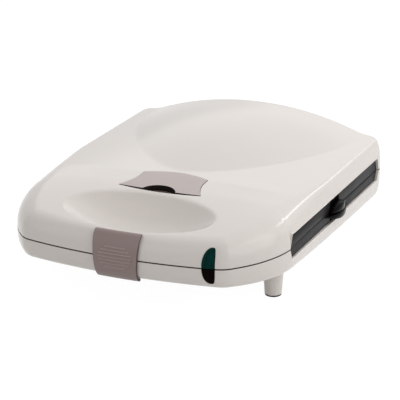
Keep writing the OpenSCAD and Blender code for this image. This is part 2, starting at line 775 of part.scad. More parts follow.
module bend(c, r, from, z) {
  translate([c[0], c[1], z]) rotate(from) rotate_extrude(angle = 90)
    translate([r, 0]) circle(element_r);
}

module run_x(x0, x1, y, z) {
  translate([x0, y, z]) rotate([0, 90, 0]) cylinder(r = element_r, h = x1 - x0);
}

module run_y(x, y0, y1, z) {
  translate([x, y1, z]) rotate([90, 0, 0]) cylinder(r = element_r, h = y1 - y0);
}

// Sheathed heater: one loop under the grid with both ends leaving at the back
module element_form(g) {
  z = element_z(g);
  b = element_bend;
  inner_x = element_x - b;
  run_x(-inner_x, inner_x, element_y0, z);
  exit_c = element_exit_x + exit_bend;
  for (s = [0, 1]) mirror([s, 0, 0]) {
    bend([inner_x, element_y0 + b], b, 270, z);
    run_y(element_x, element_y0 + b, element_y1 - b, z);
    bend([inner_x, element_y1 - b], b, 0, z);
    run_x(exit_c, inner_x, element_y1, z);
    bend([exit_c, element_y1 + exit_bend], exit_bend, 180, z);
    run_y(element_exit_x, element_y1 + exit_bend, tray_y1 + 6, z);
  }
}

// Saddles that hold the element's front and side runs to the tray
saddle_w = 12;
module saddle_profile(g) {
  z = element_z(g);
  floor = g + seat + reach;
  difference() {
    union() {
      circle(element_r + 0.7);
      translate([-element_r - 0.7, 0]) square([2 * element_r + 1.4, floor - z]);
      translate([-element_r - 5, floor - z - 0.7]) square([2 * element_r + 10, 0.7]);
    }
    circle(element_r + 0.1);
    translate([-element_r - 0.1, 0]) square([2 * element_r + 0.2, floor - z + 1]);
  }
}

module saddles_form(g) {
  y_mid = (element_y0 + element_y1) / 2 - 34;
  intersection() {
    union() {
      translate([-saddle_w / 2, element_y0, element_z(g)]) rotate([90, 0, 90])
        linear_extrude(saddle_w) saddle_profile(g);
      for (x = [-element_x, element_x]) translate([x, y_mid, element_z(g)]) rotate([90, 0, 0])
        linear_extrude(saddle_w) saddle_profile(g);
    }
    translate([-tray_hw, 0, g + 0.1]) cube([2 * tray_hw, body_d, 40]);
  }
}

// Spring clips from the tray's floor round the grid's front and back edges
module clip_profile(g) {
  top = g + seat + reach + tray_t;
  wall = tray_y0 - 1.4;
  face = grid_y0 - 1.2;
  translate([wall, top]) square([10, clip_t]);
  translate([wall - clip_t, g + 0.9]) square([clip_t, top - g - 0.9 + clip_t]);
  translate([face - clip_t, g + 0.9]) square([wall - face + clip_t, clip_t]);
  translate([face - clip_t, clip_z + 0.5]) square([clip_t, g - clip_z + 0.5]);
  translate([face - clip_t, clip_z + 0.5]) square([grid_y0 - face + 3.2, clip_t]);
}

module clips_form(g) {
  mid = (grid_y0 + grid_y1) / 2;
  for (x = [-clip_x, clip_x]) for (s = [0, 1])
    translate([0, s * 2 * mid, 0]) mirror([0, s, 0]) across(2 * clip_w - 2, x) clip_profile(g);
}

// Screws driven through a tray into the shell's posts
module screws_form(g, depth) {
  top = g + seat + reach;
  for (x = [-screw_x, screw_x], y = screw_y) translate([x, y, 0]) {
    translate([0, 0, top - 1.8]) cylinder(r = 3, h = 1.8);
    translate([0, 0, top - 0.5]) cylinder(r = screw_r, h = depth + 0.5);
  }
}

post_r = 4.2;
lid_screw_l = 8;
base_screw_l = 3.4;
lid_floor = upper_back + seat + reach + tray_t;
base_floor = lower_back + seat + reach + tray_t;

module lid_posts() {
  for (x = [-screw_x, screw_x], y = screw_y) translate([x, y, lid_floor + 0.1])
    cylinder(r = post_r, h = top_z(x, y) - 1.4 - lid_floor);
}

module base_posts() {
  for (x = [-screw_x, screw_x], y = screw_y) translate([x, y, base_z(y) + 1.2])
    cylinder(r = post_r, h = -base_floor - 0.1 - base_z(y) - 1.2);
}

module lid_shell() {
  color([0.9, 0.88, 0.85]) in_place() difference() {
    union() {
      lid_skin();
      lid_tongues();
      lid_posts();
      latch_cheeks();
      pocket_tray();
      mirrored() catch_lugs(upper_pin_z, 12);
    }
    hinge_bores();
    pocket_cut();
    rod(lever_pin_r + pin_play, 2 * lever_front_hw - 2, 0, lever_pin_y, lever_pin_z);
    latch_slots();
    rod(latch_pin_r + pin_play, 2 * cheek_x + cheek_w + 1, 0, latch_y, latch_z);
    backwards(-5, lens_back_y) intersection() {
      window_outline(0.15);
      translate([0, -1]) square([body_w, 100]);
    }
    for (x = [-screw_x, screw_x], y = screw_y)
      translate([x, y, lid_floor - 1]) cylinder(r = screw_r + pin_play, h = lid_screw_l + 1.5);
  }
}

module base_shell() {
  color([0.9, 0.88, 0.85]) in_place() difference() {
    union() {
      base_skin();
      base_ears();
      base_posts();
      mirrored() mirror([0, 0, 1]) catch_lugs(lower_pin_z, 9);
    }
    hinge_bores();
    backwards(-5, lens_back_y) intersection() {
      window_outline(0.15);
      translate([0, -99]) square([body_w, 100]);
    }
    for (x = [-screw_x, screw_x], y = screw_y)
      translate([x, y, -base_floor - base_screw_l - 0.4])
        cylinder(r = screw_r + pin_play, h = base_screw_l + 2);
    translate([-inlet_x, body_d + 3, inlet_z]) rotate([90, 0, 0])
      cylinder(r = inlet_r + gland_t + 0.1, h = 12);
  }
}

foot_spots = [[foot_x, foot_front_y], [foot_rear_x, foot_rear_y]];

// Tapered foot posts, cut off along the base's sloping underside
module foot_posts() {
  color([0.9, 0.88, 0.85]) in_place() difference() {
    for (f = foot_spots, s = [-1, 1])
      translate([s * f[0], f[1], -part_z + pad_h])
        cylinder(r1 = foot_sole_r, r2 = foot_top_r, h = part_z - pad_h);
    across(3 * foot_x)
      polygon([[0, base_z(0)], [body_d, base_z(body_d)], [body_d, 10], [0, 10]]);
  }
}

// Flat covers that close the shells in front of and behind a grid
cover_t = 1;
cover_gap = 0.3;
module cover_form() {
  fit = wall_t + cover_gap;
  front_end = grid_y0 - 2.5;
  rear_start = grid_y1 + 2.5;
  translate([0, 0, seal_gap / 2]) linear_extrude(cover_t) difference() {
    polygon([for (p = ring) inset_point(p, fit)]);
    translate([-body_w, front_end]) square([2 * body_w, rear_start - front_end]);
    translate([lens_x - lens_w - cover_gap, -1])
      square([lens_w + 2 * cover_gap, lens_back_y + cover_gap + 1]);
  }
}

module upper_cover() { color([0.85, 0.83, 0.8]) in_place() cover_form(); }
module lower_cover() { color([0.85, 0.83, 0.8]) in_place() mirror([0, 0, 1]) cover_form(); }

inlet_z = -13;
gland_t = 1.6;
gland_flange = 2;

// Rubber bush that lines the cord inlet in the back wall
module cord_gland() {
  color([0.1, 0.1, 0.1]) in_place() translate([-inlet_x, body_d, inlet_z]) rotate([90, 0, 0])
    rotate_extrude() {
      translate([inlet_r, -gland_flange - 0.1]) square([gland_t + 2.2, gland_flange]);
      translate([inlet_r, -gland_flange]) square([gland_t, gland_flange + wall_t + 3]);
    }
}

module foot_pads() {
  color([0.08, 0.08, 0.08]) in_place()
    for (f = foot_spots, s = [-1, 1]) translate([s * f[0], f[1], -part_z]) {
      cylinder(r1 = foot_sole_r - 0.9, r2 = foot_sole_r - 0.3, h = 0.6);
      translate([0, 0, 0.6]) cylinder(r = foot_sole_r - 0.3, h = pad_h - 0.6);
    }
}

module hinge_pins() {
  color([0.7, 0.7, 0.72]) in_place() at_hinges() {
    w = 2 * (ear_off + ear_w / 2);
    rod(hinge_pin_r, w + 0.2, 0.1, hinge_y, 0);
    rod(hinge_pin_r + 1, 1, w / 2 + 0.6, hinge_y, 0);
  }
}

module upper_grid() { color([0.24, 0.23, 0.24]) in_place() grid_form(upper_back); }
module lower_grid() {
  color([0.24, 0.23, 0.24]) in_place() mirror([0, 0, 1])
    grid_form(lower_back);
}
module upper_reflector() { color([0.75, 0.75, 0.77]) in_place() tray_form(upper_back); }
module lower_reflector() {
  color([0.75, 0.75, 0.77]) in_place() mirror([0, 0, 1]) tray_form(lower_back);
}
module upper_element() { color([0.4, 0.38, 0.36]) in_place() element_form(upper_back); }
module lower_element() {
  color([0.4, 0.38, 0.36]) in_place() mirror([0, 0, 1]) element_form(lower_back);
}
module upper_element_clips() { color([0.7, 0.7, 0.7]) in_place() saddles_form(upper_back); }
module lower_element_clips() {
  color([0.7, 0.7, 0.7]) in_place() mirror([0, 0, 1]) saddles_form(lower_back);
}
module upper_grid_clips() { color([0.7, 0.7, 0.7]) in_place() clips_form(upper_back); }
module lower_grid_clips() {
  color([0.7, 0.7, 0.7]) in_place() mirror([0, 0, 1]) clips_form(lower_back);
}
module lid_screws() { color([0.6, 0.6, 0.62]) in_place() screws_form(upper_back, lid_screw_l); }
module base_screws() {
  color([0.6, 0.6, 0.62]) in_place() mirror([0, 0, 1]) screws_form(lower_back, base_screw_l);
}

module ready_lens() {
  color([0.0, 0.24, 0.22]) in_place() lens(0.4, lens_up + 1, lamp_z + 1);
}
module power_lens() {
  color([0.16, 0.05, 0.04]) in_place()
    lens(-lens_down - 1, -0.4, -lamp_z - lamp_len + 1);
}
module ready_lamp() { color([0.9, 0.7, 0.4]) in_place() lamp(lamp_z); }
module power_lamp() { color([0.9, 0.7, 0.4]) in_place() mirror([0, 0, 1]) lamp(lamp_z); }

module latch_pin() {
  color([0.7, 0.7, 0.72]) in_place()
    rod(latch_pin_r, 2 * cheek_x + cheek_w, 0, latch_y, latch_z);
}

module lever_pin() {
  color([0.7, 0.7, 0.72]) in_place()
    rod(lever_pin_r, 2 * lever_front_hw - 4, 0, lever_pin_y, lever_pin_z);
}

module catch_pins(pin_z) {
  w = 2 * catch_lug_y + 2.4;
  translate([catch_pin_x, catch_y + w / 2, pin_z]) rotate([90, 0, 0])
    cylinder(r = catch_pin_r, h = w);
}

module upper_catch_pins() {
  color([0.7, 0.7, 0.72]) in_place() mirrored() catch_pins(upper_pin_z);
}

module lower_catch_pins() {
  color([0.7, 0.7, 0.72]) in_place() mirrored() mirror([0, 0, 1]) catch_pins(lower_pin_z);
}

module latch() {
  color([0.53, 0.47, 0.46]) in_place() difference() {
    union() {
      intersection() {
        across(latch_w + 4) latch_profile();
        backwards(-8, 14) latch_outline();
      }
      latch_ribs();
      latch_lugs();
    }
    rod(latch_pin_r + pin_play, 2 * cheek_x, 0, latch_y, latch_z);
  }
}

module release_lever() {
  color([0.72, 0.68, 0.67]) in_place() difference() {
    intersection() {
      top_slab(-lever_t, lever_proud);
      linear_extrude(60) lever_outline();
    }
    rod(lever_pin_r + pin_play, 2 * lever_front_hw, 0, lever_pin_y, lever_pin_z);
  }
}

module catch_upper_right() {
  color([0.05, 0.05, 0.05]) in_place() catch_form(upper_pin_z, upper_tab);
}
module catch_upper_left() {
  color([0.05, 0.05, 0.05]) in_place() mirror([1, 0, 0]) catch_form(upper_pin_z, upper_tab);
}
module catch_lower_right() {
  color([0.05, 0.05, 0.05]) in_place() mirror([0, 0, 1]) catch_form(lower_pin_z, lower_tab);
}
module catch_lower_left() {
  color([0.05, 0.05, 0.05]) in_place() mirror([1, 0, 0]) mirror([0, 0, 1])
    catch_form(lower_pin_z, lower_tab);
}

// Bimetal thermostat on a strap under the lower reflector
thermostat_y = tray_y1 - 58;
thermostat_r = 8;
strap = [34, 9, 0.8];
module thermostat() {
  color([0.85, 0.83, 0.78]) in_place() translate([0, thermostat_y, -base_floor - seat / 2]) {
    translate([-strap[0] / 2, -strap[1] / 2, -strap[2]]) cube(strap);
    translate([0, 0, -3.6]) cylinder(r = thermostat_r, h = 3.6);
    translate([0, 0, -4.4]) cylinder(r = thermostat_r - 2, h = 1);
    for (x = [-1, 1]) translate([x * 6 - 1.6, -14, -2.6]) cube([3.2, 28, 0.8]);
  }
}

// Thermal fuse held flat under the lower reflector by a saddle
fuse_x = 46;
fuse_r = 1.9;
module thermal_fuse() {
  color([0.8, 0.75, 0.6]) in_place()
    translate([fuse_x, thermostat_y, -base_floor - seat / 2 - fuse_r - 0.6]) {
      rotate([0, 90, 0]) translate([0, 0, -6]) cylinder(r = fuse_r, h = 12);
      rotate([0, 90, 0]) translate([0, 0, -16]) cylinder(r = 0.6, h = 32);
      translate([-4, -fuse_r - 3, fuse_r - 0.1]) cube([8, 2 * fuse_r + 6, 0.7]);
    }
}

// Ceramic block where the supply meets the inner wiring
block = [38, 9.5, 11];
block_y = body_d - 21;
module terminal_block() {
  color([0.9, 0.88, 0.8]) in_place()
    translate([-block[0] / 2, block_y, base_z(block_y) + wall_t + 0.3]) difference() {
      cube(block);
      for (k = [0:2]) translate([block[0] * (k + 0.5) / 3, 0, 0]) {
        translate([0, block[1] / 2, block[2] - 6]) cylinder(r = 2.2, h = 7);
        translate([0, block[1] + 1, 4]) rotate([90, 0, 0]) cylinder(r = 1.7, h = block[1] + 2);
      }
      for (k = [1:2]) translate([block[0] * k / 3 - 0.7, -1, block[2] - 4])
        cube([1.4, block[1] + 2, 5]);
    }
}

base_shell();
foot_posts();
foot_pads();
lower_cover();
upper_cover();
lower_reflector();
lower_element();
lower_element_clips();
lower_grid();
lower_grid_clips();
base_screws();
hinge_pins();
cord_gland();
terminal_block();
thermostat();
thermal_fuse();
power_lens();
power_lamp();
lid_shell();
upper_reflector();
upper_element();
upper_element_clips();
upper_grid();
upper_grid_clips();
lid_screws();
ready_lens();
ready_lamp();
latch_pin();
lever_pin();
upper_catch_pins();
lower_catch_pins();
latch();
release_lever();
catch_upper_right();
catch_upper_left();
catch_lower_right();
catch_lower_left();
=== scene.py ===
import json
import math

import bmesh
import bpy
import mathutils
import numpy as np
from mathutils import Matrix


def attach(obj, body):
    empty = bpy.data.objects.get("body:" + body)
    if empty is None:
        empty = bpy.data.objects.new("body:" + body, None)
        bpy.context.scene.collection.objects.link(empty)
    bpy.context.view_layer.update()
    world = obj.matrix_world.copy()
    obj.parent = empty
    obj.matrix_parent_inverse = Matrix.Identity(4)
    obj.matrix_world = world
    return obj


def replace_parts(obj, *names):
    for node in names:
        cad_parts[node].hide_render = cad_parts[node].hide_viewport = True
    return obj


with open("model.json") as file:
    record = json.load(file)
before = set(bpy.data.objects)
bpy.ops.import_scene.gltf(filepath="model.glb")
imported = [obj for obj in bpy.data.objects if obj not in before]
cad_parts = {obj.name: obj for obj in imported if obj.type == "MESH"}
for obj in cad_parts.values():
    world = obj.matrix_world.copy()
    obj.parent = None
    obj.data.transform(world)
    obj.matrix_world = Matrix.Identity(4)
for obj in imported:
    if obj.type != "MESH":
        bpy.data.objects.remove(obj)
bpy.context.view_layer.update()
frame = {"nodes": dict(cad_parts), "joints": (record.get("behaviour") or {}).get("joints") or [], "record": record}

nodes = frame["nodes"]
joints = {j["name"]: j for j in frame["joints"]}
print("stage: frame loaded,", len(nodes), "nodes")

# Sizes are in mm in the body frame: x right, y back from the front apex, z up from the parting plane
body = dict(halfWidth=127.5, depth=322.0, frontRadius=420.0, sideRadius=104.0, sideY=88.0,
            cornerRadius=22.0, rearRadius=12.0, bandStart=76.0, bandEnd=308.0, bandSlant=4.0,
            bandUp=12.5, bandDown=9.5, rimGap=0.5, wall=2.5, lip=0.7, hingeOut=5.4, wallPower=2.6)
hingeAt = [v * 1000 for v in joints["lid_hinge"]["pos_m"]]
toRow = np.array([0, hingeAt[1] - body["depth"] - body["hingeOut"], hingeAt[2]])


def mix(a, b, t):
    return a + (b - a) * t


def asArray(x, y, z):  # stacks three broadcast arrays into points
    return np.stack(np.broadcast_arrays(x, y, z), -1).astype(float)


def gridFaces(rows, cols, closed=False, start=0):  # quads of a grid of points, row by row
    r, c = np.meshgrid(np.arange(rows - 1), np.arange(cols if closed else cols - 1), indexing="ij")
    n = (c + 1) % cols
    quads = np.stack([r * cols + c, r * cols + n, (r + 1) * cols + n, (r + 1) * cols + c], -1)
    return quads.reshape(-1, 4) + start


def fanFaces(ring, tip, flip=False):  # triangles from a ring of indices to one point
    ring = np.asarray(ring)
    tri = np.stack([ring, np.roll(ring, -1), np.full(len(ring), tip)], -1)
    return tri[:, ::-1] if flip else tri


def makeMesh(name, points, faces, crease=35):  # mm in the body frame to a mesh in the row frame
    mesh = bpy.data.meshes.new(name)
    rows = (np.asarray(points).reshape(-1, 3) + toRow) / 1000
    mesh.from_pydata(rows.tolist(), [], [list(map(int, f)) for part in faces for f in part])
    return finishMesh(mesh, crease)


def finishMesh(mesh, crease=35, merge=1e-6, turn=True):
    bm = bmesh.new()
    bm.from_mesh(mesh)
    if merge:
        bmesh.ops.remove_doubles(bm, verts=bm.verts, dist=merge)
    if turn:
        bmesh.ops.recalc_face_normals(bm, faces=bm.faces)
    bm.to_mesh(mesh)
    bm.free()
    mesh.polygons.foreach_set("use_smooth", np.ones(len(mesh.polygons), bool))
    mesh.set_sharp_from_angle(angle=math.radians(crease))
    mesh.update()
    return mesh


def makeObject(name, mesh):
    obj = bpy.data.objects.new(name, mesh)
    bpy.context.scene.collection.objects.link(obj)
    return obj


def closedGrid(name, grid, closedCols=True, crease=35):  # a tube of rings with both ends capped
    rows, cols = grid.shape[:2]
    ends = np.stack([grid[0].mean(0), grid[-1].mean(0)])
    points = np.concatenate([grid.reshape(-1, 3), ends])
    n = rows * cols
    faces = [gridFaces(rows, cols, closedCols), fanFaces(np.arange(cols), n, True),
             fanFaces(np.arange(n - cols, n), n + 1)]
    return makeMesh(name, points, faces, crease)


def hullMesh(name, points, crease=35):  # the convex solid round a few points
    mesh = bpy.data.meshes.new(name)
    bm = bmesh.new()
    rows = (np.asarray(points, float).reshape(-1, 3) + toRow) / 1000
    verts = [bm.verts.new(p) for p in rows]
    made = bmesh.ops.convex_hull(bm, input=verts)
    spare = {g for g in made["geom_interior"] + made["geom_unused"] if isinstance(g, bmesh.types.BMVert)}
    bmesh.ops.delete(bm, geom=list(spare), context="VERTS")
    bm.to_mesh(mesh)
    bm.free()
    return finishMesh(mesh, crease)


def boxMesh(name, low, high):
    x, y, z = np.meshgrid(*zip(low, high), indexing="ij")
    return hullMesh(name, asArray(x, y, z))


def slabMesh(name, near, far):  # the solid between two grids of points
    rows, cols = near.shape[:2]
    edge = np.concatenate([np.arange(cols), np.arange(2 * cols - 1, rows * cols, cols),
                           np.arange(rows * cols - 2, (rows - 1) * cols - 1, -1),
                           np.arange((rows - 2) * cols, 0, -cols)])
    nxt = np.roll(edge, -1)
    n = rows * cols
    faces = [gridFaces(rows, cols), gridFaces(rows, cols, start=n),
             np.stack([edge, nxt, n + nxt, n + edge], -1)]
    return makeMesh(name, np.concatenate([near.reshape(-1, 3), far.reshape(-1, 3)]), faces)


def joined(name, meshes, crease=35):  # one mesh out of several that don't touch
    bm = bmesh.new()
    for mesh in meshes:
        bm.from_mesh(mesh)
    whole = bpy.data.meshes.new(name)
    bm.to_mesh(whole)
    bm.free()
    return finishMesh(whole, crease, 0)


def bevelled(obj, width, angle=35, segments=3):
    mod = obj.modifiers.new("bevel", "BEVEL")
    mod.width, mod.segments = width / 1000, segments
    mod.limit_method, mod.angle_limit = "ANGLE", math.radians(angle)
    mod.harden_normals = True
    if "sharp_edge" in obj.data.attributes:
        obj.data.attributes.remove(obj.data.attributes["sharp_edge"])
    return obj


bodyOf = {n: b for b, names in frame["record"]["behaviour"]["bodies"].items() for n in names}


def placed(obj, node):  # stands for a CAD node on its body
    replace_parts(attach(obj, bodyOf[node]), node)
    return obj


def softened(node, width, segments=2):  # a merged copy of a CAD node with its edges rounded
    mesh = bpy.data.meshes.new(node + "_soft")
    bm = bmesh.new()
    bm.from_mesh(nodes[node].data)
    bmesh.ops.remove_doubles(bm, verts=bm.verts, dist=1e-6)
    bmesh.ops.dissolve_limit(bm, angle_limit=math.radians(0.6), verts=bm.verts, edges=bm.edges)
    bm.to_mesh(mesh)
    bm.free()
    mesh.polygons.foreach_set("use_smooth", np.ones(len(mesh.polygons), bool))
    mesh.update()
    return placed(bevelled(makeObject(node + "_soft", mesh), width, 35, segments), node)


def cylinderMesh(name, start, end, radius, endRadius=None, sides=48):
    start, end = np.array(start, float), np.array(end, float)
    axis = (end - start) / np.linalg.norm(end - start)
    side = np.cross(axis, [0, 0, 1.0] if abs(axis[2]) < 0.9 else [1.0, 0, 0])
    side /= np.linalg.norm(side)
    up = np.cross(axis, side)
    a = np.linspace(0, 2 * np.pi, sides, endpoint=False)[:, None]
    ring = np.cos(a) * side + np.sin(a) * up
    top = radius if endRadius is None else endRadius
    return closedGrid(name, np.stack([start + ring * radius, end + ring * top]))


def combine(obj, others, operation):  # joins or cuts with other closed meshes, then applies it
    for k, mesh in enumerate(others):
        tool = makeObject(f"{obj.name}_tool{k}", mesh)
        mod = obj.modifiers.new("cut", "BOOLEAN")
        mod.operation = operation
        mod.object = tool
        mod.solver = "MANIFOLD"
        applied(obj)
        bpy.data.objects.remove(tool)
    return obj


def applied(obj):  # replaces the mesh by what its modifiers make of it
    graph = bpy.context.evaluated_depsgraph_get()
    graph.update()
    mesh = bpy.data.meshes.new_from_object(obj.evaluated_get(graph), depsgraph=graph)
    old = obj.data
    obj.modifiers.clear()
    obj.data = mesh
    bpy.data.meshes.remove(old)
    return obj


def arcPoints(centre, radius, start, end, count, last=False):
    a = np.radians(np.linspace(start, end, count, endpoint=last))
    return np.stack([centre[0] + radius * np.cos(a), centre[1] + radius * np.sin(a),
                     np.cos(a), np.sin(a)], -1)


def innerTouch(c1, r1, c2, r2):  # centre at r1 from c1 and at r2 from c2
    d = np.linalg.norm(c2 - c1)
    along = (r1 * r1 - r2 * r2 + d * d) / (2 * d)
    u = (c2 - c1) / d
    return c1 + along * u + math.sqrt(r1 * r1 - along * along) * np.array([-u[1], u[0]])


frontCentre = np.array([0.0, body["frontRadius"]])
sideCentre = np.array([body["halfWidth"] - body["sideRadius"], body["sideY"]])
cornerCentre = innerTouch(frontCentre, body["frontRadius"] - body["cornerRadius"],
                          sideCentre, body["sideRadius"] - body["cornerRadius"])
frontTurn = math.degrees(math.atan2(*(cornerCentre - frontCentre)[::-1]))
sideTurn = math.degrees(math.atan2(*(cornerCentre - sideCentre)[::-1]))


def sidePoints(y):  # points of the right side at distances y back
    a = np.arcsin(np.clip((y - sideCentre[1]) / body["sideRadius"], -1, 0))
    return np.stack([sideCentre[0] + body["sideRadius"] * np.cos(a), y, np.cos(a), np.sin(a)], -1)


def bodyOutline():  # the closed outline with its outward normals, from the middle of the front
    start = sideCentre[1] + body["sideRadius"] * math.sin(math.radians(sideTurn))
    y0, y1, slant = body["bandStart"], body["bandEnd"], body["bandSlant"]
    rear = (body["halfWidth"] - body["rearRadius"], body["depth"] - body["rearRadius"])
    back = np.linspace(rear[0], 0, 23)[1:]
    half = np.concatenate([
        arcPoints(frontCentre, body["frontRadius"], -90, frontTurn, 44),
        arcPoints(cornerCentre, body["cornerRadius"], frontTurn, sideTurn, 20),
        sidePoints(np.linspace(start, y0, 34)),
        sidePoints(np.linspace(y0 + slant, y1 - slant, 62)),
        sidePoints(np.array([y1])),
        arcPoints(rear, body["rearRadius"], 0, 90, 15, True),
        np.stack([back, np.full(22, body["depth"]), np.zeros(22), np.ones(22)], -1)])
    left = half[1:-1][::-1] * [-1, 1, -1, 1]
    return np.concatenate([half, left]), len(half) - 1


outline, halfCount = bodyOutline()
columns = len(outline)
frontness = np.maximum(0, -outline[:, 3]) ** 2
inBand = ((np.abs(outline[:, 0]) > body["halfWidth"] - 10) & (outline[:, 1] > body["bandStart"] + 0.01)
          & (outline[:, 1] < body["bandEnd"] - 0.01))


def insetBy(distance):  # outline points moved inwards, one distance for each column
    return outline[:, :2] - outline[:, 2:] * np.asarray(distance)[..., None]


lid = dict(edge=28.5, frontDrop=9.5, crown=6.0, dome=16.7, domeRx=107.0, domeRy=155.0, domeY=290.0,
           sideIn=7.5, frontIn=10.0, frontPower=2.2, crownY=121.0, dropY=95.0, domePower=1.6,
           domeEdge=1.1, cornerIn=17.0, wideY=176.0, fullY=50.0)
bowl = dict(rx=69.0, front=12.5, rear=79.0, floor=4.5, deepY=32.0, roll=0.6, soft=1.5)


def plainTop(x, y):  # edge that sinks to the front, crown to the middle, superelliptic dome
    edge = lid["edge"] - lid["frontDrop"] * (np.maximum(0, lid["dropY"] - y) / lid["dropY"]) ** 1.5
    rise = np.minimum(1, np.maximum(0, y) / lid["crownY"]) ** 1.2
    crown = lid["crown"] * rise * (1 - np.minimum(1, np.abs(x) / body["halfWidth"]) ** 4)
    p = lid["domePower"]
    q = (np.abs(x) / lid["domeRx"]) ** p + (np.maximum(0, lid["domeY"] - y) / lid["domeRy"]) ** p
    return edge + crown + lid["dome"] * np.maximum(0, 1 - q ** (2 / p)) ** lid["domeEdge"]


def bowlHeight(x, y, grow=0.0, drop=0.0):  # square of the way from the deepest point to the oval rim
    rx, ry = bowl["rx"] + grow, (bowl["rear"] - bowl["front"]) / 2 + grow
    cy = (bowl["rear"] + bowl["front"]) / 2
    dx, dy = x, y - bowl["deepY"]
    away = np.maximum(np.hypot(dx, dy), 1e-6)
    ux, uy = dx / away, dy / away
    a = (ux / rx) ** 2 + (uy / ry) ** 2
    b = uy * (bowl["deepY"] - cy) / ry ** 2
    c = ((bowl["deepY"] - cy) / ry) ** 2 - 1
    reach = (-b + np.sqrt(b * b - a * c)) / a
    rim = plainTop(ux * reach, bowl["deepY"] + uy * reach) - bowl["roll"] - drop
    low = bowl["floor"] - grow
    return low + (rim - low) * (away / reach) ** 2


def softMin(a, b, width):  # the lower of two heights with a fillet where they meet
    h = np.clip(0.5 + 0.5 * (b - a) / width, 0, 1)
    return mix(b, a, h) - width * h * (1 - h)


def lidTop(x, y):
    return softMin(plainTop(x, y), bowlHeight(x, y), bowl["soft"])


def ovalRim(grow=0.0):  # a point of the recess's rim for each column
    n = halfCount
    j = np.where(np.arange(columns) <= n, np.arange(columns), columns - np.arange(columns))
    p = insetBy(np.full(columns, 8.0))[j]
    cy, ry = (bowl["rear"] + bowl["front"]) / 2, (bowl["rear"] - bowl["front"]) / 2
    a = np.arctan2((p[:, 1] - cy) / ry, p[:, 0] / bowl["rx"])
    a = mix(a, -np.pi / 2 + np.pi * j / n, 0.5)
    a = np.where(np.arange(columns) <= n, a, np.pi - a)
    return np.stack([(bowl["rx"] + grow) * np.cos(a), cy + (ry + grow) * np.sin(a)], -1)


# Superelliptic wall that leaves the rim upright and runs into the top without a crease
def wallRows(rim, depth, power, height, steps):
    edge = insetBy(depth)
    full = height(edge[:, 0], edge[:, 1])
    first = np.arcsin(np.clip(np.abs(rim / full), 0, 1) ** (power / 2))
    turn = mix(first, np.pi / 2, np.linspace(0, 1, steps)[:, None])
    share = np.sin(turn) ** (2 / power)
    pts = insetBy(depth * (1 - np.cos(turn) ** (2 / power)))
    here = height(pts[..., 0], pts[..., 1])
    return asArray(pts[..., 0], pts[..., 1], share * mix(full, here, share ** 4))


def lipRows(rim, up):  # rounded edge from the rim's flat to the wall
    turn = np.radians([0, 30, 60])[:, None]
    r = body["lip"]
    pts = insetBy(r * (1 - np.sin(turn)) * np.ones(columns))
    return asArray(pts[..., 0], pts[..., 1], rim + up * r * (1 - np.cos(turn)))


def shellObject(name, outer, inner, outerTip, innerTip):  # two skins joined at their first rows
    rows, low = len(outer), len(inner)
    points = np.concatenate([outer.reshape(-1, 3), inner.reshape(-1, 3), [outerTip, innerTip]])
    off, end = rows * columns, (rows + low) * columns
    ring = np.arange(columns)
    nxt = np.roll(ring, -1)
    rim = np.stack([ring, off + ring, off + nxt, nxt], -1)
    faces = [gridFaces(rows, columns, True), gridFaces(low, columns, True, off), rim,
             fanFaces(off - columns + ring, end), fanFaces(end - columns + ring, end + 1)]
    return makeObject(name, makeMesh(name, points, faces, 40))


lidRim = np.where(inBand, body["bandUp"], body["rimGap"] / 2)
spread = (np.sqrt(np.clip(outline[:, 1] / lid["fullY"], 0, 1))
          * np.clip((lid["wideY"] - outline[:, 1]) / (lid["wideY"] - body["sideY"]), 0, 1) ** 1.2)
lidIn = mix(lid["sideIn"], lid["frontIn"], frontness) + lid["cornerIn"] * spread
lidPower = mix(body["wallPower"], lid["frontPower"], np.maximum(frontness, spread))
innerIn = lidIn * mix(0.55, 0.8, spread)


def lidSkinRows(start, end, steps, height):  # straight in plan from the edge to the oval rim
    s = np.linspace(0, 1, steps + 1)[1:, None, None]
    v = mix(start, end, s)
    return asArray(v[..., 0], v[..., 1], height(v[..., 0], v[..., 1]))


def buildLidSkin():
    rim = ovalRim()
    tip = np.array([0, bowl["deepY"]])
    basin = mix(rim, tip, 1 - (1 - np.linspace(0, 1, 40)[1:-1, None, None]) ** 0.8)
    outer = np.concatenate([
        lipRows(lidRim, 1),
        wallRows(lidRim + body["lip"], lidIn, lidPower, lidTop, 24),
        lidSkinRows(insetBy(lidIn), rim, 64, lidTop),
        asArray(basin[..., 0], basin[..., 1], lidTop(basin[..., 0], basin[..., 1]))])
    t = body["wall"]

    def under(x, y):
        return np.minimum(plainTop(x, y) - 1.2 * t, bowlHeight(x, y, t, 1.2 * t))
    inside = insetBy(np.full(columns, t))
    edge = insetBy(innerIn + t)
    full = under(edge[:, 0], edge[:, 1])
    turn = np.linspace(0, np.pi / 2, 10)[:, None]
    side = insetBy(innerIn * (1 - np.cos(turn)) + t)
    wall = asArray(side[..., 0], side[..., 1], mix(lidRim, full, np.sin(turn)))
    wide = ovalRim(t)
    pit = mix(wide, tip, np.linspace(0, 1, 12)[1:-1, None, None])
    inner = np.concatenate([
        asArray(inside[:, 0], inside[:, 1], lidRim)[None], wall[1:],
        lidSkinRows(edge, wide, 20, under),
        asArray(pit[..., 0], pit[..., 1], under(pit[..., 0], pit[..., 1]))])
    return shellObject("lid_skin", outer, inner, [0, tip[1], float(lidTop(0, tip[1] + 1e-4))],
                       [0, tip[1], bowl["floor"] - t])


base = dict(front=17.5, rear=27.5, inset=9.0, sideInset=6.5, sideFrom=120.0)
baseIn = mix(base["inset"], base["sideInset"], np.clip(outline[:, 1] / base["sideFrom"], 0, 1))


def baseDepth(x, y):  # the floor sinks to the back, ever less steeply
    return -mix(base["rear"], base["front"], (1 - np.clip(y / body["depth"], 0, 1)) ** 2) + 0 * x


baseRim = np.where(inBand, -body["bandDown"], -body["rimGap"] / 2)


